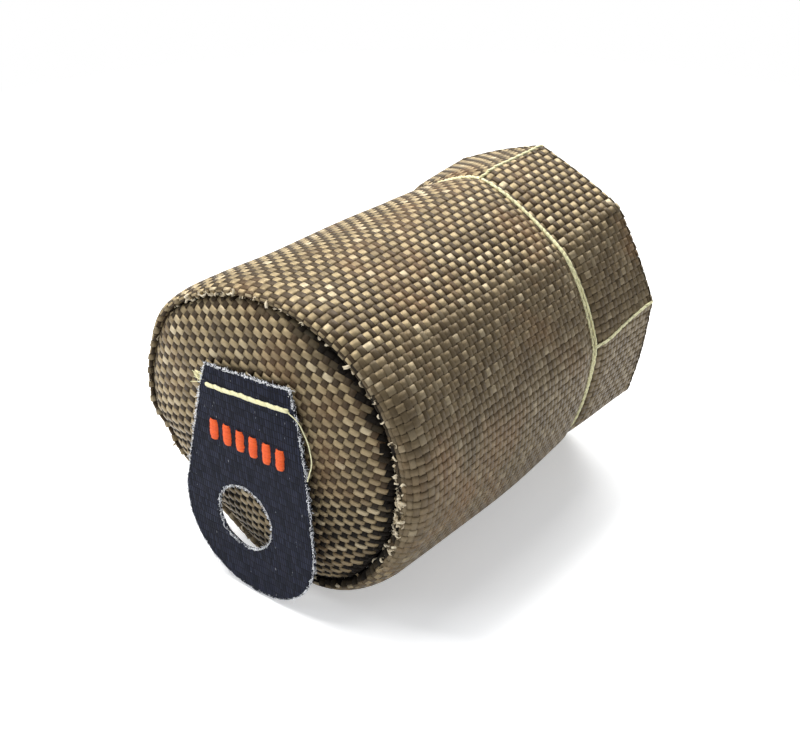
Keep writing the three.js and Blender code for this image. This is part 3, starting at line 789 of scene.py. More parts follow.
class Workshop:
    """Lays pieces with the shared Geometry Nodes tree, and dresses and reports what is made."""

    def __init__(self) -> None:
        """Builds the tree and the small pieces."""
        self.tree = laying_tree()
        self.tow = self._template("tow", self._tow())
        self.twist = self._template("twist", self._twist())
        self.strand = self._template("strand", self._strand())
        self.hair = self._template("hair", self._hair())
        self.dress: dict[str, bpy.types.Material] = {}

    def finish(self, finish: object) -> bpy.types.Material:
        """The material of a finish, built once."""
        if finish.name not in self.dress:
            self.dress[finish.name] = finish.material()
        return self.dress[finish.name]

    @staticmethod
    def _template(name: str, patch: Patch) -> bpy.types.Object:
        """An object that holds one small piece of unit size."""
        mesh = bpy.data.meshes.new(name)
        mesh.from_pydata(patch.points.tolist(), [], patch.faces)
        mesh.polygons.foreach_set("use_smooth", [True] * len(mesh.polygons))
        write_attribute(mesh, "fibre", "FLOAT_VECTOR", patch.points * 2.4 * MM)
        return bpy.data.objects.new(name, mesh)

    @staticmethod
    def _tow() -> Patch:
        """Visible float of a flat tow: arched, with its ends dipping under its neighbours."""
        stations = np.array([-0.5, -0.37, -0.2, 0.2, 0.37, 0.5])
        sides = np.array([-0.5, -0.43, 0.43, 0.5])
        drops = np.array([0.6, 0.0, 0.0, 0.6])
        arch = 1.0 - 1.35 * np.abs(2 * stations) ** 3.6
        rings = np.array([
            [(x, y, rise - drop) for y, drop in zip(sides, drops)] for x, rise in zip(stations, arch)
        ])
        across = len(sides)
        faces = [
            (k * across + i, (k + 1) * across + i, (k + 1) * across + i + 1, k * across + i + 1)
            for k in range(len(stations) - 1)
            for i in range(across - 1)
        ]
        return Patch(rings.reshape(-1, 3), faces)

    @staticmethod
    def _tube(path: Array, radii: Array, sides: int, upright: Array) -> Patch:
        """A closed tube along a path."""
        along = unit(np.gradient(path, axis=0))
        across = unit(np.cross(along, upright))
        up = np.cross(across, along)
        turns = np.arange(sides) * TURN / sides
        rings = (
            path[:, None]
            + radii[:, None, None] * np.cos(turns)[None, :, None] * up[:, None]
            + radii[:, None, None] * np.sin(turns)[None, :, None] * across[:, None]
        )
        patch = lofted(rings, looped=False)
        last = (len(path) - 1) * sides
        patch.faces.append(tuple(reversed(range(sides))))
        patch.faces.append(tuple(range(last, last + sides)))
        return patch

    @classmethod
    def _twist(cls) -> Patch:
        """One stitch of two-ply thread, its ends dipping into the cloth."""
        place = np.linspace(-0.53, 0.53, 9)
        points, faces = [], []
        for ply in range(2):
            turn = place * TURN * 1.25 + ply * math.pi
            dip = 0.75 * np.abs(place / 0.53) ** 7
            path = np.stack([place, 0.24 * np.cos(turn), 0.24 * np.sin(turn) - dip], axis=-1)
            tube = cls._tube(path, np.full(len(place), 0.29), 5, np.array([0.0, 0.0, 1.0]))
            shift = len(points) * len(tube.points)
            points.append(tube.points)
            faces += [tuple(k + shift for k in face) for face in tube.faces]
        return Patch(np.concatenate(points), faces)

    @classmethod
    def _strand(cls) -> Patch:
        """One satin strand, bowed over the cloth."""
        place = np.linspace(-0.5, 0.5, 7)
        bow = 1.0 - np.abs(2 * place) ** 3.0
        turns = np.arange(6) * TURN / 6
        rings = np.array([
            [(x, 0.5 * math.sin(t), rise - 0.35 + 0.5 * math.cos(t)) for t in turns]
            for x, rise in zip(place, bow)
        ])
        patch = lofted(rings, looped=False)
        patch.faces.append(tuple(reversed(range(6))))
        patch.faces.append(tuple(range(36, 42)))
        return patch

    @classmethod
    def _hair(cls) -> Patch:
        """A short loose end that curls and thins towards its tip."""
        place = np.linspace(0.0, 1.0, 5)
        path = np.stack([place, 0.16 * np.sin(3.2 * place), 0.25 * place**2], axis=-1)
        return cls._tube(path, 0.075 * (1.0 - 0.7 * place), 3, np.array([0.0, 0.0, 1.0]))

    def lay(
        self,
        name: str,
        laying: Laying,
        piece: bpy.types.Object,
        finish: object,
        wobble: float,
        spread: float,
        seed: int,
    ) -> bpy.types.Mesh:
        """Lays a piece at every point and returns the plain mesh.

        Args:
            name: Name of the mesh.
            laying: Where the pieces go.
            piece: The small piece.
            finish: Its finish.
            wobble: Largest turn out of line, in radians.
            spread: Largest change of size, as a share.
            seed: Seed of the random values.

        Returns:
            One mesh in the row frame.
        """
        carrier = bpy.data.meshes.new(name + "_carrier")
        carrier.from_pydata(in_row_frame(laying.points).tolist(), [], [])
        write_attribute(carrier, "run", "FLOAT_VECTOR", laying.run)
        write_attribute(carrier, "facing", "FLOAT_VECTOR", laying.facing)
        write_attribute(carrier, "size", "FLOAT_VECTOR", laying.size * MM)
        for key, values in laying.extra.items():
            write_attribute(carrier, key, "FLOAT", values)
        holder = bpy.data.objects.new(name + "_carrier", carrier)
        bpy.context.scene.collection.objects.link(holder)
        modifier = holder.modifiers.new("lay", "NODES")
        modifier.node_group = self.tree
        wanted = {
            "Piece": piece, "Wobble": wobble, "Size spread": spread,
            "Seed": seed, "Finish": self.finish(finish),
        }
        for item in self.tree.interface.items_tree:
            if item.in_out == "INPUT" and item.name in wanted:
                modifier[item.identifier] = wanted[item.name]
        graph = bpy.context.evaluated_depsgraph_get()
        made = bpy.data.meshes.new_from_object(holder.evaluated_get(graph))
        bpy.data.objects.remove(holder)
        made.name = name
        return made

    @staticmethod
    def keep(
        made: bpy.types.Object, slot: str, nodes: tuple[str, ...], padded: float | None = None
    ) -> bpy.types.Object:
        """Hangs a finished piece on the frame and reports it."""
        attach(made, "root")
        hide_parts(*nodes)
        made.data.calc_loop_triangles()
        log.info("%s: %d triangles", made.name, len(made.data.loop_triangles))
        return made


@dataclass
class WovenWall:
    """Outer cloth: rolled front edge, padded wall, skirt and its folded hem."""

    form: SleeveForm
    shop: Workshop
    tows_round: int = 116
    lip_rows: int = 2
    roll_rows: int = 7
    inner_roll_rows: float = 2.3
    body_rows: int = 43
    skirt_rows: int = 15
    fold_rows: int = 2
    hem_rows: int = 3
    hem_radius: float = 1.25
    tow_pitch: float = 1.92
    tow_share: float = 0.85
    weave_height: float = 0.46
    pressed_share: float = 0.55
    # Where painted shade lies: the turn of the crease shade, and where the flank shade starts and is full.
    crease_shade_turn: float = math.radians(12)
    flank_shade_start: float = 0.54
    flank_shade_full: float = 0.72

    def surface(self, angle: Array, row: Array) -> Array:
        """A point of the cloth's face; rows run from the crease's lip to the hem's edge."""
        form = self.form
        place = form.crease_place(angle)
        first = self.roll_rows
        stitches = first + self.body_rows
        rim = stitches + self.skirt_rows
        hem = rim + self.fold_rows
        fold_place = form.length - self.hem_radius
        lip_y = place + form.lip_depth * np.clip(-row / self.lip_rows, 0.0, 1.0)
        turn = np.interp(row, [0.0, self.inner_roll_rows, first], [0.0, math.pi / 2, math.pi])
        roll_radius, roll_y = form.roll(angle, turn)
        body_y = lerp(place + form.shoulder_reach, form.stitch_place, (row - first) / self.body_rows)
        skirt_y = lerp(form.stitch_place, fold_place, (row - stitches) / self.skirt_rows)
        fold = np.clip((row - rim) / self.fold_rows, 0.0, 1.0) * math.pi
        edge = form.wall_radius(angle, np.full_like(angle, fold_place))
        fold_radius = edge - self.hem_radius * (1 - np.cos(fold))
        fold_y = fold_place + self.hem_radius * np.sin(fold)
        wall_y = np.where(row < stitches, body_y, skirt_y)
        wall = form.wall_radius(angle, wall_y)
        hem_y = fold_place - np.maximum(row - hem, 0.0) * self.tow_pitch
        hem_radius = form.wall_radius(angle, hem_y) - 2 * self.hem_radius
        pieces = [row < 0, row < first, row < rim, row < hem, row >= hem]
        radius = np.select(pieces, [
            form.crease_radius(angle), roll_radius, wall, fold_radius, hem_radius,
        ])
        y = np.select(pieces, [lip_y, roll_y, wall_y, fold_y, hem_y])
        return form.point(angle, radius, y)

    def frame_at(self, angle: Array, row: Array) -> tuple[Array, Array, Array, Array]:
        """Point, step round, step along and outward direction of the cloth."""
        step = 0.02
        around = (self.surface(angle + step, row) - self.surface(angle - step, row)) / (2 * step)
        along = (self.surface(angle, row + step) - self.surface(angle, row - step)) / (2 * step)
        return self.surface(angle, row), around, along, unit(np.cross(along, around))

    def crossings(self) -> tuple[Laying, Array]:
        """Where the tows lie on top, and each one's row."""
        last = self.roll_rows + self.body_rows + self.skirt_rows + self.fold_rows + self.hem_rows
        rows, columns = np.meshgrid(
            np.arange(-self.lip_rows, last), np.arange(self.tows_round), indexing="ij"
        )
        rows, columns = rows.ravel(), columns.ravel()
        angle = -math.pi / 2 + (columns + 0.5) * TURN / self.tows_round
        point, around, along, out = self.frame_at(angle, rows + 0.5)
        width = np.linalg.norm(around, axis=1) * TURN / self.tows_round
        height = np.linalg.norm(along, axis=1)
        is_round = (rows + columns) % 2 == TopTow.ROUND.value
        run = np.where(is_round[:, None], around, along)
        size = float_sizes(is_round, width, height, self.tow_share, self.weave_height)
        pressed = 1 - smoothstep(point[:, 2], 0.15, 1.2)
        size[:, 2] *= 1 - self.pressed_share * pressed
        base = point - out * (self.weave_height * (1 - 0.6 * pressed))[:, None]
        chance = np.random.default_rng(13)
        # Painted shade in the crease at the front edge, stronger on the right-hand side.
        right_hand = smoothstep(np.cos(angle + self.crease_shade_turn), -0.35, 0.35)
        crease_shade_share = 0.35 + 0.65 * right_hand
        sunk = smoothstep(-rows + chance.normal(0.0, 0.35, len(rows)), -2.3, -0.5) * crease_shade_share
        # Painted sheen and shade by direction: tows along the sleeve get the light colour and tows round it
        # the dark one; towards the right-hand flank and on the underside both come to a mid tone as painted
        # shade.
        sideways = np.cos(angle) + chance.normal(0.0, 0.03, len(rows))
        flank_shade = smoothstep(sideways, self.flank_shade_start, self.flank_shade_full)
        flank_shade = np.where(np.sin(angle) > -0.6, flank_shade, 0.5)
        dark = np.where(is_round, 1.0 - 0.27 * flank_shade, 0.66 * flank_shade)
        extra = {"kind": dark, "sunk": sunk}
        return Laying(base, unit(run), out, size, extra), rows

    def core(self) -> bpy.types.Mesh:
        """Solid body of the cloth just under the tows, coloured near black as painted shade between them.
        """
        around = 96
        angle = -math.pi / 2 + (np.arange(around) + 0.5) * TURN / around
        last = self.roll_rows + self.body_rows + self.skirt_rows + self.fold_rows + self.hem_rows
        rows = np.concatenate([
            np.linspace(-self.lip_rows, self.roll_rows, 15),
            np.linspace(self.roll_rows, self.roll_rows + self.body_rows, 38)[1:],
            np.linspace(self.roll_rows + self.body_rows, last, 34)[1:],
        ])
        outside, inside = [], []
        for row in rows:
            point, _, _, out = self.frame_at(angle, np.full(around, float(row)))
            outside.append(point - out * (self.weave_height + 0.02))
            inside.append(point - out * self.form.cloth)
        rings = np.array(outside + inside[::-1])
        rings[..., 2] = np.maximum(rings[..., 2], 0.02)
        return facing_out(lofted(rings, looped=True).mesh("wall_cloth_core"))

    def build(self) -> None:
        """Makes and dresses the wall's pieces."""
        shop = self.shop
        laying, rows = self.crossings()
        padded = rows < self.roll_rows + self.body_rows
        tow = TowFinish()
        for name, mask, seed in (("wall_weave", padded, 11), ("skirt_weave", ~padded, 23)):
            mesh = shop.lay(name, laying.chosen(mask), shop.tow, tow, 0.035, 0.02, seed)
            shop.keep(dressed(name, mesh), "woven_cloth", ("outer_wall",))
        core = dressed("wall_cloth_core", self.core(), shop.finish(CoreFinish()))
        shop.keep(core, "woven_cloth", ("outer_wall",), padded=0.7)


@dataclass
class PuffedPanel:
    """End panel: a round of the same cloth, puffed out of the crease."""

    form: SleeveForm
    shop: Workshop
    pitch_across: float = 2.6
    pitch_up: float = 1.92
    turn: float = math.radians(18.6)
    weave_height: float = 0.46
    tuck: float = 2.6
    reach: float = 52.0
    loose_and_shaded_below: float = 30.0
    tight_and_unshaded_above: float = 58.0
    crease_shade_turn: float = math.radians(12)

    def __post_init__(self) -> None:
        """Measures the arc from the panel's middle to its crease, for each angle."""
        self.angles = np.linspace(-math.pi, math.pi, 145)
        shares = np.linspace(0.0, 1.0, 241)
        form = self.form
        reach = (form.crease_radius(self.angles) - form.layer_gap)[:, None] * shares
        x = reach * np.cos(self.angles)[:, None]
        z = reach * np.sin(self.angles)[:, None] + form.axis_height
        place = form.panel_place(x, z)
        steps = np.hypot(np.diff(reach, axis=1), np.diff(place, axis=1))
        arcs = np.concatenate([np.zeros((len(self.angles), 1)), np.cumsum(steps, axis=1)], axis=1)
        self.totals = arcs[:, -1]
        self.shares = shares
        self.curve = (arcs / arcs[:, -1:]).mean(axis=0)

    def total(self, angle: Array) -> Array:
        """Arc from the middle to the crease."""
        wrapped = (angle + math.pi) % TURN - math.pi
        return np.interp(wrapped, self.angles, self.totals)

    def surface(self, across: Array, up: Array) -> Array:
        """The place in the panel of a point of the flat cloth, turned by the weave's slant."""
        form = self.form
        angle = np.arctan2(up, across) - self.turn
        arc = np.hypot(across, up)
        total = self.total(angle)
        share = np.interp(arc / total, self.curve, self.shares)
        radius = share * (form.crease_radius(angle) - form.layer_gap)
        x = radius * np.cos(angle)
        z = radius * np.sin(angle) + form.axis_height
        tucked = np.maximum(0.0, arc - total)
        y = form.panel_place(x, z) + tucked
        return np.stack([x, y, z], axis=-1)

    def frame_at(self, across: Array, up: Array) -> tuple[Array, Array, Array, Array]:
        """Point, step across, step up and outward direction of the cloth."""
        step = 0.15
        right = (self.surface(across + step, up) - self.surface(across - step, up)) / (2 * step)
        rise = (self.surface(across, up + step) - self.surface(across, up - step)) / (2 * step)
        return self.surface(across, up), right, rise, unit(np.cross(right, rise))

    def crossings(self) -> Laying:
        """Where the tows lie on top."""
        reach_across = int(self.reach / self.pitch_across)
        reach_up = int(self.reach / self.pitch_up)
        columns, rows = np.meshgrid(
            np.arange(-reach_across, reach_across + 1), np.arange(-reach_up, reach_up + 1)
        )
        columns, rows = columns.ravel(), rows.ravel()
        across, up = columns * self.pitch_across, rows * self.pitch_up
        angle = np.arctan2(up, across) - self.turn
        arc = np.hypot(across, up)
        inside = arc < self.total(angle) + self.tuck
        columns, rows, across, up = (values[inside] for values in (columns, rows, across, up))
        point, right, rise, out = self.frame_at(across.astype(float), up.astype(float))
        is_round = (rows + columns) % 2 == TopTow.ROUND.value
        width = np.linalg.norm(right, axis=1) * self.pitch_across
        height = np.linalg.norm(rise, axis=1) * self.pitch_up
        run = np.where(is_round[:, None], right, rise)
        # The lower part of the panel has a looser weave, and its tows there also carry painted shade.
        low = 1 - smoothstep(point[:, 2], self.loose_and_shaded_below, self.tight_and_unshaded_above)
        share = np.where(is_round, 0.95 - 0.15 * low, 0.72 - 0.20 * low)
        size = float_sizes(is_round, width, height, share, self.weave_height)
        chance = np.random.default_rng(17)
        past = (arc - self.total(angle))[inside] + chance.normal(0.0, 0.4, len(rows))
        # Painted sheen and shade by direction: tows across the panel get the light colour and tows up it
        # the dark one; in the lower part the light ones darken as painted shade.
        dark = np.where(is_round, 0.14 + 0.2 * low, 1.0)
        # Painted shade at the crease, stronger on the right-hand side, and on the upright tows, most in the
        # lower part.
        right_hand = smoothstep(np.cos(angle[inside] + self.crease_shade_turn), -0.35, 0.35)
        at_crease = smoothstep(past, -3.5, -1.9) * (0.45 + 0.55 * right_hand)
        sunk = np.maximum(at_crease, (0.2 + 0.8 * low) * ~is_round)
        extra = {"kind": dark, "sunk": sunk}
        return Laying(point - out * self.weave_height, unit(run), out, size, extra)

    def core(self) -> bpy.types.Mesh:
        """Solid body of the panel under its tows, coloured near black as painted shade between them."""
        around = 96
        angle = (np.arange(around) + 0.5) * TURN / around
        shares = np.concatenate([np.linspace(0.04, 0.9, 14), np.linspace(0.92, 1.0, 7)])
        outside, inside = [], []
        for share in shares:
            arc = self.total(angle - self.turn) * share
            point, _, _, out = self.frame_at(arc * np.cos(angle), arc * np.sin(angle))
            outside.append(point - out * (self.weave_height + 0.02))
            inside.append(point - out * self.form.cloth)
        skin = lofted(np.array(outside + inside[::-1]), looped=False)
        middles = [np.mean(outside[0], axis=0), np.mean(inside[0], axis=0)]
        return facing_out(closed_to_middles(skin, around, middles).mesh("panel_cloth_core"))

    def build(self) -> None:
        """Makes and dresses the panel's pieces."""
        shop = self.shop
        mesh = shop.lay("panel_weave", self.crossings(), shop.tow, TowFinish(), 0.035, 0.02, 37)
        shop.keep(dressed("panel_weave", mesh), "woven_cloth", ("end_panel",))
        core = dressed("panel_cloth_core", self.core(), shop.finish(CoreFinish()))
        shop.keep(core, "woven_cloth", ("end_panel",), padded=0.75)


@dataclass
class Inside:
    """Liner and batting behind the outer cloth."""

    form: SleeveForm
    shop: Workshop
    around: int = 96

    def _rings(self, radius: object, places: Array) -> Array:
        """Rings of a radius function at places along the sleeve."""
        angle = -math.pi / 2 + (np.arange(self.around) + 0.5) * TURN / self.around
        rings = []
        for place in places:
            y = place(angle) if callable(place) else np.full(self.around, float(place))
            rings.append(self.form.point(angle, radius(angle, y), y))
        return np.array(rings)

    def liner(self) -> bpy.types.Object:
        """Fine cloth: a closed end, a round bore and the flare behind the skirt."""
        form = self.form
        start, end = form.liner_end, form.length - 1.6
        places = np.concatenate([np.linspace(start, 78.0, 26), np.linspace(79.5, end, 26)])

        def outer(angle: Array, y: Array) -> Array:
            """Outside, a little slack."""
            slack = 0.12 * np.sin(7 * angle + 0.3 * y) * smoothstep(y, start, start + 12)
            return form.liner_radius(angle, y) - 0.15 + slack

        def inner(angle: Array, y: Array) -> Array:
            """Inside."""
            return outer(angle, y) - form.liner + 0.1

        shares = np.linspace(0.05, 0.97, 12)
        front, back = start - form.liner, start
        out_cap = [self._rings(lambda a, y, s=s: form.liner_outer * s + 0 * a, [front])[0] for s in shares]
        in_cap = [self._rings(lambda a, y, s=s: form.bore / 2 * s + 0 * a, [back])[0] for s in shares]
        rings = np.array([
            *out_cap, *self._rings(outer, places), *self._rings(inner, places[::-1]), *in_cap[::-1],
        ])
        middles = [(0.0, front, form.axis_height), (0.0, back, form.axis_height)]
        patch = closed_to_middles(lofted(rings, looped=False), self.around, middles)
        mesh = facing_out(patch.mesh("liner"))
        girth = TURN * form.bore / 2
        turn = (np.arctan2(patch.points[:, 2] - form.axis_height, patch.points[:, 0]) / TURN) * girth
        flat = np.abs(patch.points[:, 1] - start) < form.liner + 0.01
        cloth = np.column_stack([turn, patch.points[:, 1], np.zeros(len(patch.points))])
        cloth[flat] = np.column_stack([
            patch.points[flat, 0], patch.points[flat, 2], np.zeros(int(flat.sum())),
        ])
        write_attribute(mesh, "cloth", "FLOAT_VECTOR", cloth)
        return dressed("liner", mesh, self.shop.finish(FineClothFinish()))

    def batting(self) -> None:
        """Batting of the wall and of the closed end."""
        form, shop = self.form, self.shop
        flare_start = form.stitch_place - form.liner_flare

        def start(angle: Array) -> Array:
            """Front edge of the batting, behind the crease's lip."""
            return form.crease_place(angle) + form.lip_depth + 2 * form.layer_gap

        def outer(angle: Array, y: Array) -> Array:
            """Outside, clear of the cloth."""
            return form.wall_radius(angle, y) - form.cloth - form.batting_gap

        def inner(angle: Array, y: Array) -> Array:
            """Inside, clear of the liner."""
            return form.liner_radius(angle, y) + form.layer_gap

        end = form.stitch_place - form.padding_setback
        places = [start, *np.linspace(form.taper_start, flare_start, 16), end]
        rings = np.concatenate([self._rings(outer, places), self._rings(inner, places[::-1])])
        mesh = facing_out(lofted(rings, looped=True).mesh("wall_batting"))
        made = dressed("wall_batting", mesh, shop.finish(BattingFinish()))
        shop.keep(made, "batting", ("wall_padding",), padded=0.6)
        pad = bpy.data.objects["end_padding"]
        pad.data.materials.clear()
        pad.data.materials.append(shop.finish(BattingFinish()))

    def build(self) -> None:
        """Makes and dresses the inner pieces."""
        self.shop.keep(self.liner(), "liner_cloth", ("liner_wall", "liner_end"))
        self.batting()


@dataclass
class Stitching:
    """Pale thread: the doubled ring round the sleeve and the rows on the skirt's corners."""

    form: SleeveForm
    shop: Workshop
    thread: float = 0.86
    stitch: float = 3.2
    lift: float = 0.12
    sewn_corners: tuple = (6, 4, 2, 0)
    second_row_drift: float = 1.05

    def _row(self, angle: Array, y: Array) -> Laying:
        """Stitches on the wall at each middle between neighbouring needle holes."""
        form = self.form
        radius = form.wall_radius(angle, y) + self.lift
        holes = form.point(angle, radius, y)
        middles = (holes[1:] + holes[:-1]) / 2
        run = holes[1:] - holes[:-1]
        facing = np.column_stack([middles[:, 0], np.zeros(len(middles)), middles[:, 2] - form.axis_height])
        reach = np.linalg.norm(run, axis=1)
        thick = np.full(len(reach), self.thread)
        size = np.column_stack([reach * 1.05, thick, thick])
        return Laying(middles, unit(run), unit(facing), size, {})

    def ring(self) -> bpy.types.Object:
        """Two rows of stitches round the sleeve that drift apart on the right-hand side."""
        form = self.form
        count = round(TURN * form.radius / self.stitch)
        angle = np.linspace(-math.pi / 2, 1.5 * math.pi, count + 1)
        place = np.full(len(angle), form.stitch_place)
        apart = self.second_row_drift * np.exp(-(((angle - math.radians(14)) / 0.46) ** 2)) + 0.28
        first = self._row(angle, place - 0.12 - 0.25 * (apart - 0.28))
        second = self._row(angle + 0.5 * TURN / count, place + 0.75 * apart)
        mesh = self.shop.lay(
            "stitch_ring_thread", first.joined(second), self.shop.twist, THREAD, 0.03, 0.05, 41
        )
        return dressed("stitch_ring_thread", mesh)

    def seams(self) -> bpy.types.Object:
        """Rows of stitches along the sewn corners of the skirt."""
        form = self.form
        start, end = form.stitch_place + 0.4, form.length - 1.3
        count = round((end - start) / self.stitch)
        y = np.linspace(start, end, count + 1)
        rows = None
        for corner in self.sewn_corners:
            near, far = form.skirt_at_stitches[corner][0], form.skirt_at_rim[corner][0]
            angle = np.radians(lerp(near, far, smoothstep(y, form.stitch_place, form.length)))
            row = self._row(angle, y)
            row.size[:, 1:] *= 1.1
            rows = row if rows is None else rows.joined(row)
        mesh = self.shop.lay("skirt_seam_thread", rows, self.shop.twist, THREAD, 0.03, 0.05, 43)
        return dressed("skirt_seam_thread", mesh)

    def build(self) -> None:
        """Makes and dresses the threads."""
        self.shop.keep(self.ring(), "thread", ("stitch_ring",))
        seams = tuple(f"skirt_seam_{k + 1}" for k in range(len(self.sewn_corners)))
        self.shop.keep(self.seams(), "thread", seams)


@dataclass
class PullTab:
    """Blue-black tab with a round hole, frayed edges, orange bars and its stitches."""

    form: SleeveForm
    shop: Workshop
    thickness: float = 1.6
    cloth_thickness: float = 1.0
    top_width: float = 29.5
    top_tilt: float = math.radians(4.3)
    end_radius: float = 24.0
    end_bulge: float = 1.9
    bulge_angle: float = math.radians(-45)
    hole: float = 20.0
    end_x: float = -3.8
    hole_x: float = -5.0
    hole_z: float = 24.9
    top_height: float = 71.7
    shift: float = -2.8
    bulge_left: float = 0.2
    bulge_right: float = 2.2
    stitch_drop: float = 6.2
    bars: int = 6
    bar_width: float = 3.1
    bar_height: float = 6.4
    bar_pitch: float = 4.9
    bar_drop: float = 21.2
    strands: int = 13
    frays_per_mm: float = 9.0
    tuft_hairs: int = 46

    def place(self, x: Array, z: Array) -> Array:
        """Front of the tab: on the end panel at its stitches, hanging plumb below them."""
        form = self.form
        seated = form.panel_place(x, z)
        plumb = form.panel_place(np.array(self.end_x - self.end_radius), np.array(form.axis_height))
        held = smoothstep(z, self.hole_z + self.hole, self.top_height - self.stitch_drop)
        return lerp(plumb, seated, held) - form.layer_gap - self.thickness

    def across(self, offset: Array, drop: float) -> Array:
        """A point on the slanting top edge or on a line beside it, as x and z."""
        tilt = self.top_tilt
        x = self.shift + offset * math.cos(tilt) + drop * math.sin(tilt)
        z = self.top_height + offset * math.sin(tilt) - drop * math.cos(tilt)
        return np.stack([x, z], axis=-1)

    def _on_end(self, angle: Array) -> Array:
        """A point of the round end."""
        fuller = np.maximum(0.0, np.cos(angle - self.bulge_angle)) ** 4
        reach = self.end_radius + self.end_bulge * fuller
        return np.stack([reach * np.cos(angle) + self.end_x, reach * np.sin(angle) + self.hole_z], -1)

    def _side(self, corner: Array, touch: Array, bulge: float, count: int) -> Array:
        """Points of a long side, from a top corner to the round end, both left out."""
        share = np.arange(1, count)[:, None] / count
        points = lerp(corner, touch, share)
        points[:, 0] += np.sign(corner[0] - self.end_x) * bulge * (4 * share * (1 - share))[:, 0]
        return points

    def outline(self) -> Array:
        """Outline as x and z: a straight top, two long sides and a round end."""
        half = self.top_width / 2
        left, right = self.across(np.array(-half), 0.0), self.across(np.array(half), 0.0)
        end_middle = np.array([self.end_x, self.hole_z])

        def touch(corner: Array, side: int) -> float:
            """Angle at which a side meets the round end."""
            away = corner - end_middle
            return math.atan2(away[1], away[0]) + side * math.acos(self.end_radius / np.hypot(*away))

        start, end = touch(left, 1), touch(right, -1) + TURN
        top = self.across(np.linspace(half, -half, 25), 0.0)
        arc = self._on_end(np.linspace(start, end, 91))
        return np.concatenate([
            top,
            self._side(left, self._on_end(np.array(start)), self.bulge_left, 22),
            arc,
            self._side(right, self._on_end(np.array(end)), self.bulge_right, 22)[::-1],
        ])

    def flat_area(self) -> float:
        """Area of the flat cut in square metres."""
        line = self.outline()
        after = np.roll(line, -1, axis=0)
        whole = abs(np.sum(line[:, 0] * after[:, 1] - after[:, 0] * line[:, 1])) / 2
        return float(whole - math.pi * (self.hole / 2) ** 2) * MM * MM

    def cloth(self) -> bpy.types.Object:
        """The tab's cloth, with pale cut edges."""
        line = self.outline()
        hole = np.array([self.hole_x, self.hole_z])
        rim = hole + unit(line - hole) * self.hole / 2
        shares = np.array([0.0, 0.02, 0.1, 0.25, 0.4, 0.55, 0.7, 0.82, 0.92, 0.985, 1.0])

        def face(share: float, depth: float, grow: float) -> Array:
            """One ring of the cloth at a share of the way from hole to edge."""
            flat = lerp(rim, line, share) + unit(line - hole) * grow
            wave = 0.12 * np.sin(0.9 * flat[:, 0]) * np.cos(0.55 * flat[:, 1])
            return np.stack([flat[:, 0], self.place(flat[:, 0], flat[:, 1]) + depth + wave, flat[:, 1]], -1)

        thick = self.cloth_thickness
        front = [face(s, 0.18 if s in (0.0, 1.0) else 0.0, 0.0) for s in shares]
        back = [face(s, thick - (0.18 if s in (0.0, 1.0) else 0.0), 0.0) for s in shares[::-1]]
        rings = [*front, face(1.0, thick / 2, 0.12), *back, face(0.0, thick / 2, -0.12)]
        patch = lofted(np.array(rings), looped=True)
        mesh = facing_out(patch.mesh("pull_tab_cloth"))
        return dressed("pull_tab_cloth", mesh, self.shop.finish(TabClothFinish()))

    def frays(self) -> bpy.types.Object:
        """Short pale ends along the cut edges."""
        chance = np.random.default_rng(5)
        line = self.outline()
        hole = np.array([self.hole_x, self.hole_z])
        turns = np.linspace(0.0, TURN, 90)[:-1]
        rim = hole + self.hole / 2 * np.stack([np.cos(turns), np.sin(turns)], -1)
        points, runs = [], []
        for path in (line, rim[::-1]):
            after = np.roll(path, -1, axis=0)
            steps = np.linalg.norm(after - path, axis=1)
            marks = np.concatenate([[0.0], np.cumsum(steps)])
            count = int(marks[-1] * self.frays_per_mm)
            where = chance.uniform(0.0, marks[-1], count)
            closed = np.concatenate([path, path[:1]])
            next_to = (where + 0.4) % marks[-1]
            flat, ahead = (
                np.stack([np.interp(spot, marks, closed[:, k]) for k in (0, 1)], -1)
                for spot in (where, next_to)
            )
            along = unit(ahead - flat)
            normal = np.stack([along[:, 1], -along[:, 0]], -1)
            depth = chance.beta(0.8, 3.0, count) * self.cloth_thickness
            base = np.stack([flat[:, 0], self.place(flat[:, 0], flat[:, 1]) + depth, flat[:, 1]], -1)
            outward = np.stack([normal[:, 0], np.zeros(count), normal[:, 1]], -1)
            slide = np.stack([along[:, 0], np.zeros(count), along[:, 1]], -1)
            lean = chance.normal(0.0, 3.4, (count, 1))
            tilt = chance.normal(-0.25, 0.4, (count, 1))
            points.append(base + outward * chance.uniform(-0.42, 0.0, (count, 1)))
            runs.append(unit(outward + slide * lean + np.array([0.0, 1.0, 0.0]) * tilt))
        point, run = np.concatenate(points), np.concatenate(runs)
        run[:, 2] = np.where(point[:, 2] < 1.6, np.abs(run[:, 2]), run[:, 2])
        length = chance.gamma(2.0, 0.16, len(point)) + 0.4
        thick = chance.uniform(1.1, 2.0, len(point))
        facing = unit(np.cross(run, chance.normal(0.0, 1.0, run.shape)))
        size = np.column_stack([length, thick, thick])
        laying = Laying(point, run, facing, size, {})
        mesh = self.shop.lay("tab_frayed_edge", laying, self.shop.hair, FRAY, 0.3, 0.2, 51)
        return dressed("tab_frayed_edge", mesh)

    def _on_tab(self, flat: Array, run: Array, size: Array, lift: float) -> Laying:
        """Pieces laid on the tab's front.

        Args:
            flat: Points as x and z.
            run: Directions as x and z.
            size: Sizes of the pieces.
            lift: Distance in front of the cloth.
        """
        step = 0.1
        x, z = flat[:, 0], flat[:, 1]
        y = self.place(x, z)
        slope_x = (self.place(x + step, z) - self.place(x - step, z)) / (2 * step)
        slope_z = (self.place(x, z + step) - self.place(x, z - step)) / (2 * step)
        facing = unit(np.stack([slope_x, -np.ones(len(x)), slope_z], -1))
        along = np.stack([run[:, 0], slope_x * run[:, 0] + slope_z * run[:, 1], run[:, 1]], -1)
        points = np.stack([x, y, z], -1) + facing * lift
        return Laying(points, unit(along), facing, size, {})

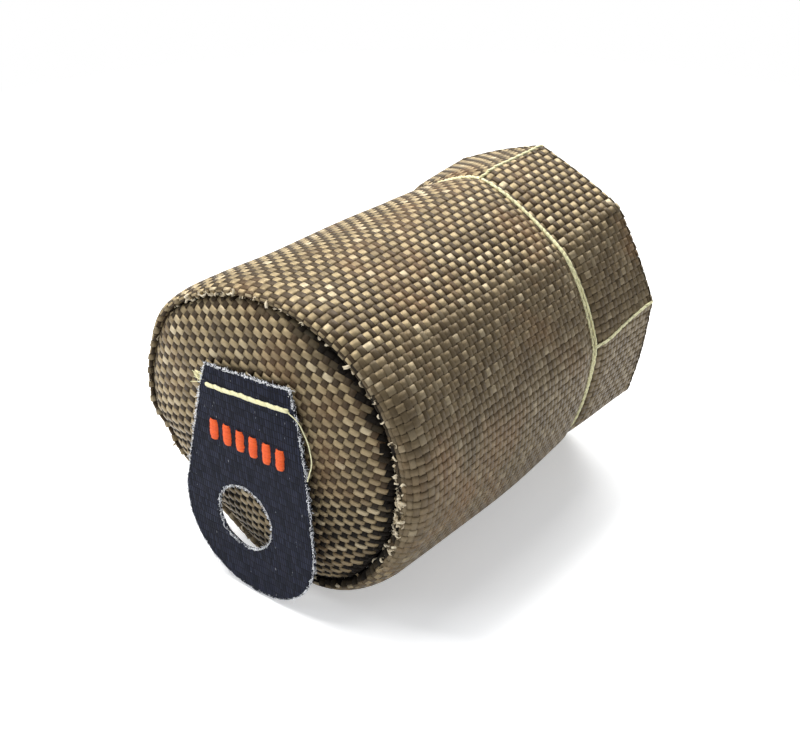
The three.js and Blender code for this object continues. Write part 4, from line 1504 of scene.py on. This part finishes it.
    def satin_bars(self) -> bpy.types.Object:
        """Six plain bars of orange satin stitches."""
        chance = np.random.default_rng(8)
        middle = self.top_height - self.bar_drop
        pitch = self.bar_height / self.strands
        flats = []
        for bar in range(self.bars):
            x = self.shift + (bar - (self.bars - 1) / 2) * self.bar_pitch
            for strand in range(self.strands):
                flats.append((x, middle + (strand + 0.5) * pitch - self.bar_height / 2))
        flat = np.array(flats)
        flat[:, 0] += chance.normal(0.0, 0.05, len(flat))
        run = np.tile([1.0, 0.05], (len(flat), 1))
        ends = np.tile(np.abs(np.linspace(-1, 1, self.strands)) ** 6, self.bars)
        width = self.bar_width * (1.0 - 0.22 * ends) + chance.normal(0.0, 0.07, len(flat))
        size = np.column_stack([width, np.full(len(flat), pitch * 1.12), np.full(len(flat), 0.5)])
        laying = self._on_tab(flat, run, size, 0.06)
        mesh = self.shop.lay("satin_bars", laying, self.shop.strand, SATIN, 0.02, 0.03, 61)
        return dressed("satin_bars", mesh)

    def stitches(self) -> bpy.types.Object:
        """Thick thread through the tab, a tuft at its left end and a loose end at its right."""
        chance = np.random.default_rng(9)
        half = self.top_width / 2 - 0.6
        holes = self.across(np.linspace(-half, half, 10), self.stitch_drop)
        holes[:, 1] += chance.normal(0.0, 0.12, len(holes))
        run = np.diff(holes, axis=0)
        flat = (holes[1:] + holes[:-1]) / 2
        reach = np.linalg.norm(run, axis=1)
        thick = np.full(len(reach), 1.25)
        size = np.column_stack([reach * 1.06, thick, thick])
        laying = self._on_tab(flat, run / reach[:, None], size, 0.3)
        mesh = self.shop.lay("tab_thread", laying, self.shop.twist, THREAD, 0.05, 0.06, 71)
        tuft = self.shop.lay("tuft", self._tuft(chance), self.shop.hair, THREAD, 0.2, 0.2, 73)
        return self._joined("tab_thread", [mesh, tuft, self._loose_end()])

    def _tuft(self, chance: np.random.Generator) -> Laying:
        """Loose ends of the thread beside the tab's left edge."""
        count = self.tuft_hairs
        start = self.across(np.array(-self.top_width / 2 - 0.2), self.stitch_drop - 0.6)
        point = np.zeros((count, 3))
        point[:, 0] = start[0] + chance.normal(0.0, 0.25, count)
        point[:, 2] = start[1] + chance.normal(0.0, 0.35, count)
        seated = self.form.panel_place(point[:, 0], point[:, 2])
        point[:, 1] = seated - 0.5 - chance.uniform(0.0, 0.7, count)
        run = np.column_stack([
            -np.ones(count), chance.normal(-0.12, 0.16, count), chance.normal(0.02, 0.22, count),
        ])
        length = chance.uniform(1.6, 4.6, count)
        thick = chance.uniform(2.4, 4.4, count)
        facing = unit(np.cross(run, chance.normal(0.0, 1.0, run.shape)))
        return Laying(point, unit(run), facing, np.column_stack([length, thick, thick]), {})

    def _loose_end(self) -> bpy.types.Mesh:
        """A thin thread that hangs beside the tab's right edge."""
        right = self.across(np.array(self.top_width / 2), self.stitch_drop)
        knots = np.array([
            (right[0] - 0.8, right[1]), (right[0] + 3.2, right[1] - 2.4),
            (right[0] + 6.6, right[1] - 7.5), (right[0] + 8.4, right[1] - 13.0),
            (right[0] + 7.2, right[1] - 18.5),
        ])
        share = np.linspace(0, 1, 25)
        marks = np.linspace(0, 1, len(knots))
        x, z = (np.interp(share, marks, knots[:, k]) for k in (0, 1))
        for _ in range(3):
            x[1:-1] = (x[:-2] + 2 * x[1:-1] + x[2:]) / 4
            z[1:-1] = (z[:-2] + 2 * z[1:-1] + z[2:]) / 4
        front = np.minimum(self.place(x, z), self.form.panel_place(x, z))
        y = front - 0.35 + 0.5 * np.sin(share * math.pi)
        patch = self.shop._tube(np.stack([x, y, z], -1), np.full(25, 0.17), 5, np.array([0.0, 1.0, 0.0]))
        return facing_out(patch.mesh("loose_end"))

    def _joined(self, name: str, meshes: list[bpy.types.Mesh]) -> bpy.types.Object:
        """One object from several meshes in the same finish."""
        points, faces, tones, fibres = [], [], [], []
        for mesh in meshes:
            shift = sum(len(p) for p in points)
            spots = np.zeros(len(mesh.vertices) * 3, np.float32)
            mesh.vertices.foreach_get("co", spots)
            points.append(spots.reshape(-1, 3))
            faces += [tuple(k + shift for k in face.vertices) for face in mesh.polygons]
            for store, key, width in ((tones, "tone", 1), (fibres, "fibre", 3)):
                values = np.zeros(len(mesh.vertices) * width, np.float32)
                if key in mesh.attributes:
                    part = "vector" if width == 3 else "value"
                    mesh.attributes[key].data.foreach_get(part, values)
                store.append(values)
        whole = bpy.data.meshes.new(name)
        whole.from_pydata(np.concatenate(points).tolist(), [], faces)
        write_attribute(whole, "tone", "FLOAT", np.concatenate(tones))
        write_attribute(whole, "fibre", "FLOAT_VECTOR", np.concatenate(fibres))
        return dressed(name, whole, self.shop.finish(THREAD))

    def build(self) -> None:
        """Makes and dresses the tab's pieces."""
        shop = self.shop
        cloth = shop.keep(self.cloth(), "tab_cloth", ("pull_tab",))
        frays = shop.keep(self.frays(), "tab_cloth", ("pull_tab",))
        bars = tuple(f"tab_bar_{k + 1}" for k in range(self.bars))
        satin = shop.keep(self.satin_bars(), "satin_bars", bars)
        thread = shop.keep(self.stitches(), "thread", ("tab_stitches",))
        self.flat_area()


@dataclass
class Studio:
    """Camera, floor and soft light."""

    camera_place: tuple = (0.27596, -0.34326, 0.30753)
    yaw: float = math.radians(39.459)
    pitch: float = math.radians(31.277)
    lens: float = 77.18
    sensor: float = 36.0
    floor_size: float = 6.0
    fade_start: float = 0.16
    fade_rate: float = 4.5
    sky: Colour = (0.93, 0.96, 1.0)

    def camera(self) -> None:
        """The photograph's camera."""
        data = bpy.data.cameras.new("camera")
        data.lens = self.lens
        data.sensor_width = self.sensor
        data.clip_start, data.clip_end = 0.01, 50.0
        made = bpy.data.objects.new("camera", data)
        bpy.context.scene.collection.objects.link(made)
        level = math.cos(self.pitch)
        back = Vector((math.sin(self.yaw) * level, -math.cos(self.yaw) * level, math.sin(self.pitch)))
        made.location = self.camera_place
        made.rotation_mode = "QUATERNION"
        made.rotation_quaternion = (-back).to_track_quat("-Z", "Y")
        bpy.context.scene.camera = made

    @staticmethod
    def _seen(tree: Tree) -> Socket:
        """1 for camera, glossy and transmission rays."""
        path = tree.add("ShaderNodeLightPath", output="Is Camera Ray")
        most = tree.math("MAXIMUM", path, path.of("Is Glossy Ray"))
        return tree.math("MAXIMUM", most, path.of("Is Transmission Ray"))

    def floor(self) -> None:
        """Pale floor that keeps the shadow and turns white away from the blanket."""
        half = self.floor_size / 2
        mesh = bpy.data.meshes.new("floor")
        corners = [(-half, -half, 0), (half, -half, 0), (half, half, 0), (-half, half, 0)]
        mesh.from_pydata(corners, [], [(0, 1, 2, 3)])
        material, tree = new_material("pale_floor")
        diffuse = tree.add("ShaderNodeBsdfDiffuse", None, {"Color": (0.83, 0.84, 0.86, 1.0)})
        glow = tree.add("ShaderNodeEmission", None, {"Color": (1.0, 1.0, 1.0, 1.0), "Strength": 0.42})
        both = tree.add("ShaderNodeAddShader", None, {0: diffuse, 1: glow})
        white = tree.add("ShaderNodeEmission", None, {"Color": (1.0, 1.0, 1.0, 1.0), "Strength": 1.0})
        spot = object_place(tree)
        reach = tree.add("ShaderNodeVectorMath", {"operation": "LENGTH"}, {0: spot}, "Value")
        rise = (reach - self.fade_start) * self.fade_rate
        far = tree.math("MINIMUM", tree.math("MAXIMUM", rise, 0.0), 1.0)
        faded = tree.add("ShaderNodeMixShader", None, {0: far, 1: both, 2: white})
        shown = tree.add("ShaderNodeMixShader", None, {0: self._seen(tree), 1: diffuse, 2: faded})
        tree.add("ShaderNodeOutputMaterial", None, {"Surface": shown})
        dressed("floor", mesh, material)

    def world(self) -> None:
        """White to the camera, soft ambient light to the object."""
        world = bpy.data.worlds.new("studio")
        bpy.context.scene.world = world
        world.use_nodes = True
        tree = Tree(world.node_tree)
        ambient = tree.add("ShaderNodeBackground", None, {"Color": (*self.sky, 1.0), "Strength": 0.36})
        white = tree.add("ShaderNodeBackground", None, {"Color": (1.0, 1.0, 1.0, 1.0), "Strength": 1.0})
        path = tree.add("ShaderNodeLightPath", output="Is Camera Ray")
        shown = tree.add("ShaderNodeMixShader", None, {0: path, 1: ambient, 2: white})
        tree.add("ShaderNodeOutputWorld", None, {"Surface": shown})

    @staticmethod
    def lamp(name: str, place: tuple, size: float, power: float, colour: Colour) -> None:
        """A square soft lamp that looks at the blanket.

        Args:
            name: Name of the lamp.
            place: Where it stands, in metres.
            size: Length of its sides in metres.
            power: Power in watts.
            colour: Colour of its light.
        """
        data = bpy.data.lights.new(name, "AREA")
        data.shape = "SQUARE"
        data.size = size
        data.energy = power
        data.color = colour
        made = bpy.data.objects.new(name, data)
        made.location = place
        aim = Vector((0.0, 0.0, 0.04)) - Vector(place)
        made.rotation_mode = "QUATERNION"
        made.rotation_quaternion = aim.to_track_quat("-Z", "Y")
        bpy.context.scene.collection.objects.link(made)

    def build(self) -> None:
        """Sets up the studio."""
        self.camera()
        self.floor()
        self.world()
        self.lamp("key", (-0.50, -0.12, 1.10), 0.70, 18.0, (1.0, 0.985, 0.95))
        self.lamp("back", (-0.22, 0.84, 0.86), 0.60, 12.0, (1.0, 0.99, 0.96))
        self.lamp("fill", (-0.75, -1.00, 0.60), 0.70, 5.0, (0.97, 0.985, 1.0))
        view = bpy.context.scene.view_settings
        view.view_transform = "Standard"


@dataclass
class CreaseFrays:
    """Broken tow ends along the crease, most of them at two places; their pale colour is a painted glint.
    """

    form: SleeveForm
    shop: Workshop
    count: int = 170

    def build(self) -> None:
        """Makes and dresses the broken ends."""
        chance = np.random.default_rng(3)
        form = self.form
        spots = [(-8.0, 9.0, 0.42), (112.0, 10.0, 0.18), (30.0, 70.0, 0.40)]
        angles = np.concatenate([
            np.radians(chance.normal(middle, width, int(self.count * share)))
            for middle, width, share in spots
        ])
        turn = chance.uniform(0.15, 1.1, len(angles)) * math.pi * 0.5
        radius, y = form.roll(angles, turn)
        point = form.point(angles, radius, y)
        out = unit(np.column_stack([np.cos(angles), np.full(len(angles), -1.2), np.sin(angles)]))
        side = unit(np.cross(out, chance.normal(0.0, 1.0, out.shape)))
        run = unit(side + out * chance.uniform(0.1, 0.8, (len(angles), 1)))
        length = chance.uniform(0.9, 2.2, len(angles))
        thick = chance.uniform(0.35, 0.85, len(angles))
        facing = unit(np.cross(run, chance.normal(0.0, 1.0, run.shape)))
        size = np.column_stack([length, thick, thick])
        laying = Laying(point, run, facing, size, {})
        mesh = self.shop.lay("crease_frays", laying, self.shop.tow, LOOSE_TOW, 0.3, 0.2, 81)
        self.shop.keep(dressed("crease_frays", mesh), "woven_cloth", ("outer_wall",))


def main() -> None:
    """Builds the blanket round its frame and the studio round both."""
    logging.basicConfig(level=logging.INFO, format="%(name)s %(message)s")
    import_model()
    Studio().build()
    form = SleeveForm()
    shop = Workshop()
    WovenWall(form, shop).build()
    PuffedPanel(form, shop).build()
    Inside(form, shop).build()
    Stitching(form, shop).build()
    PullTab(form, shop).build()
    CreaseFrays(form, shop).build()


if __name__ == "__main__":
    main()
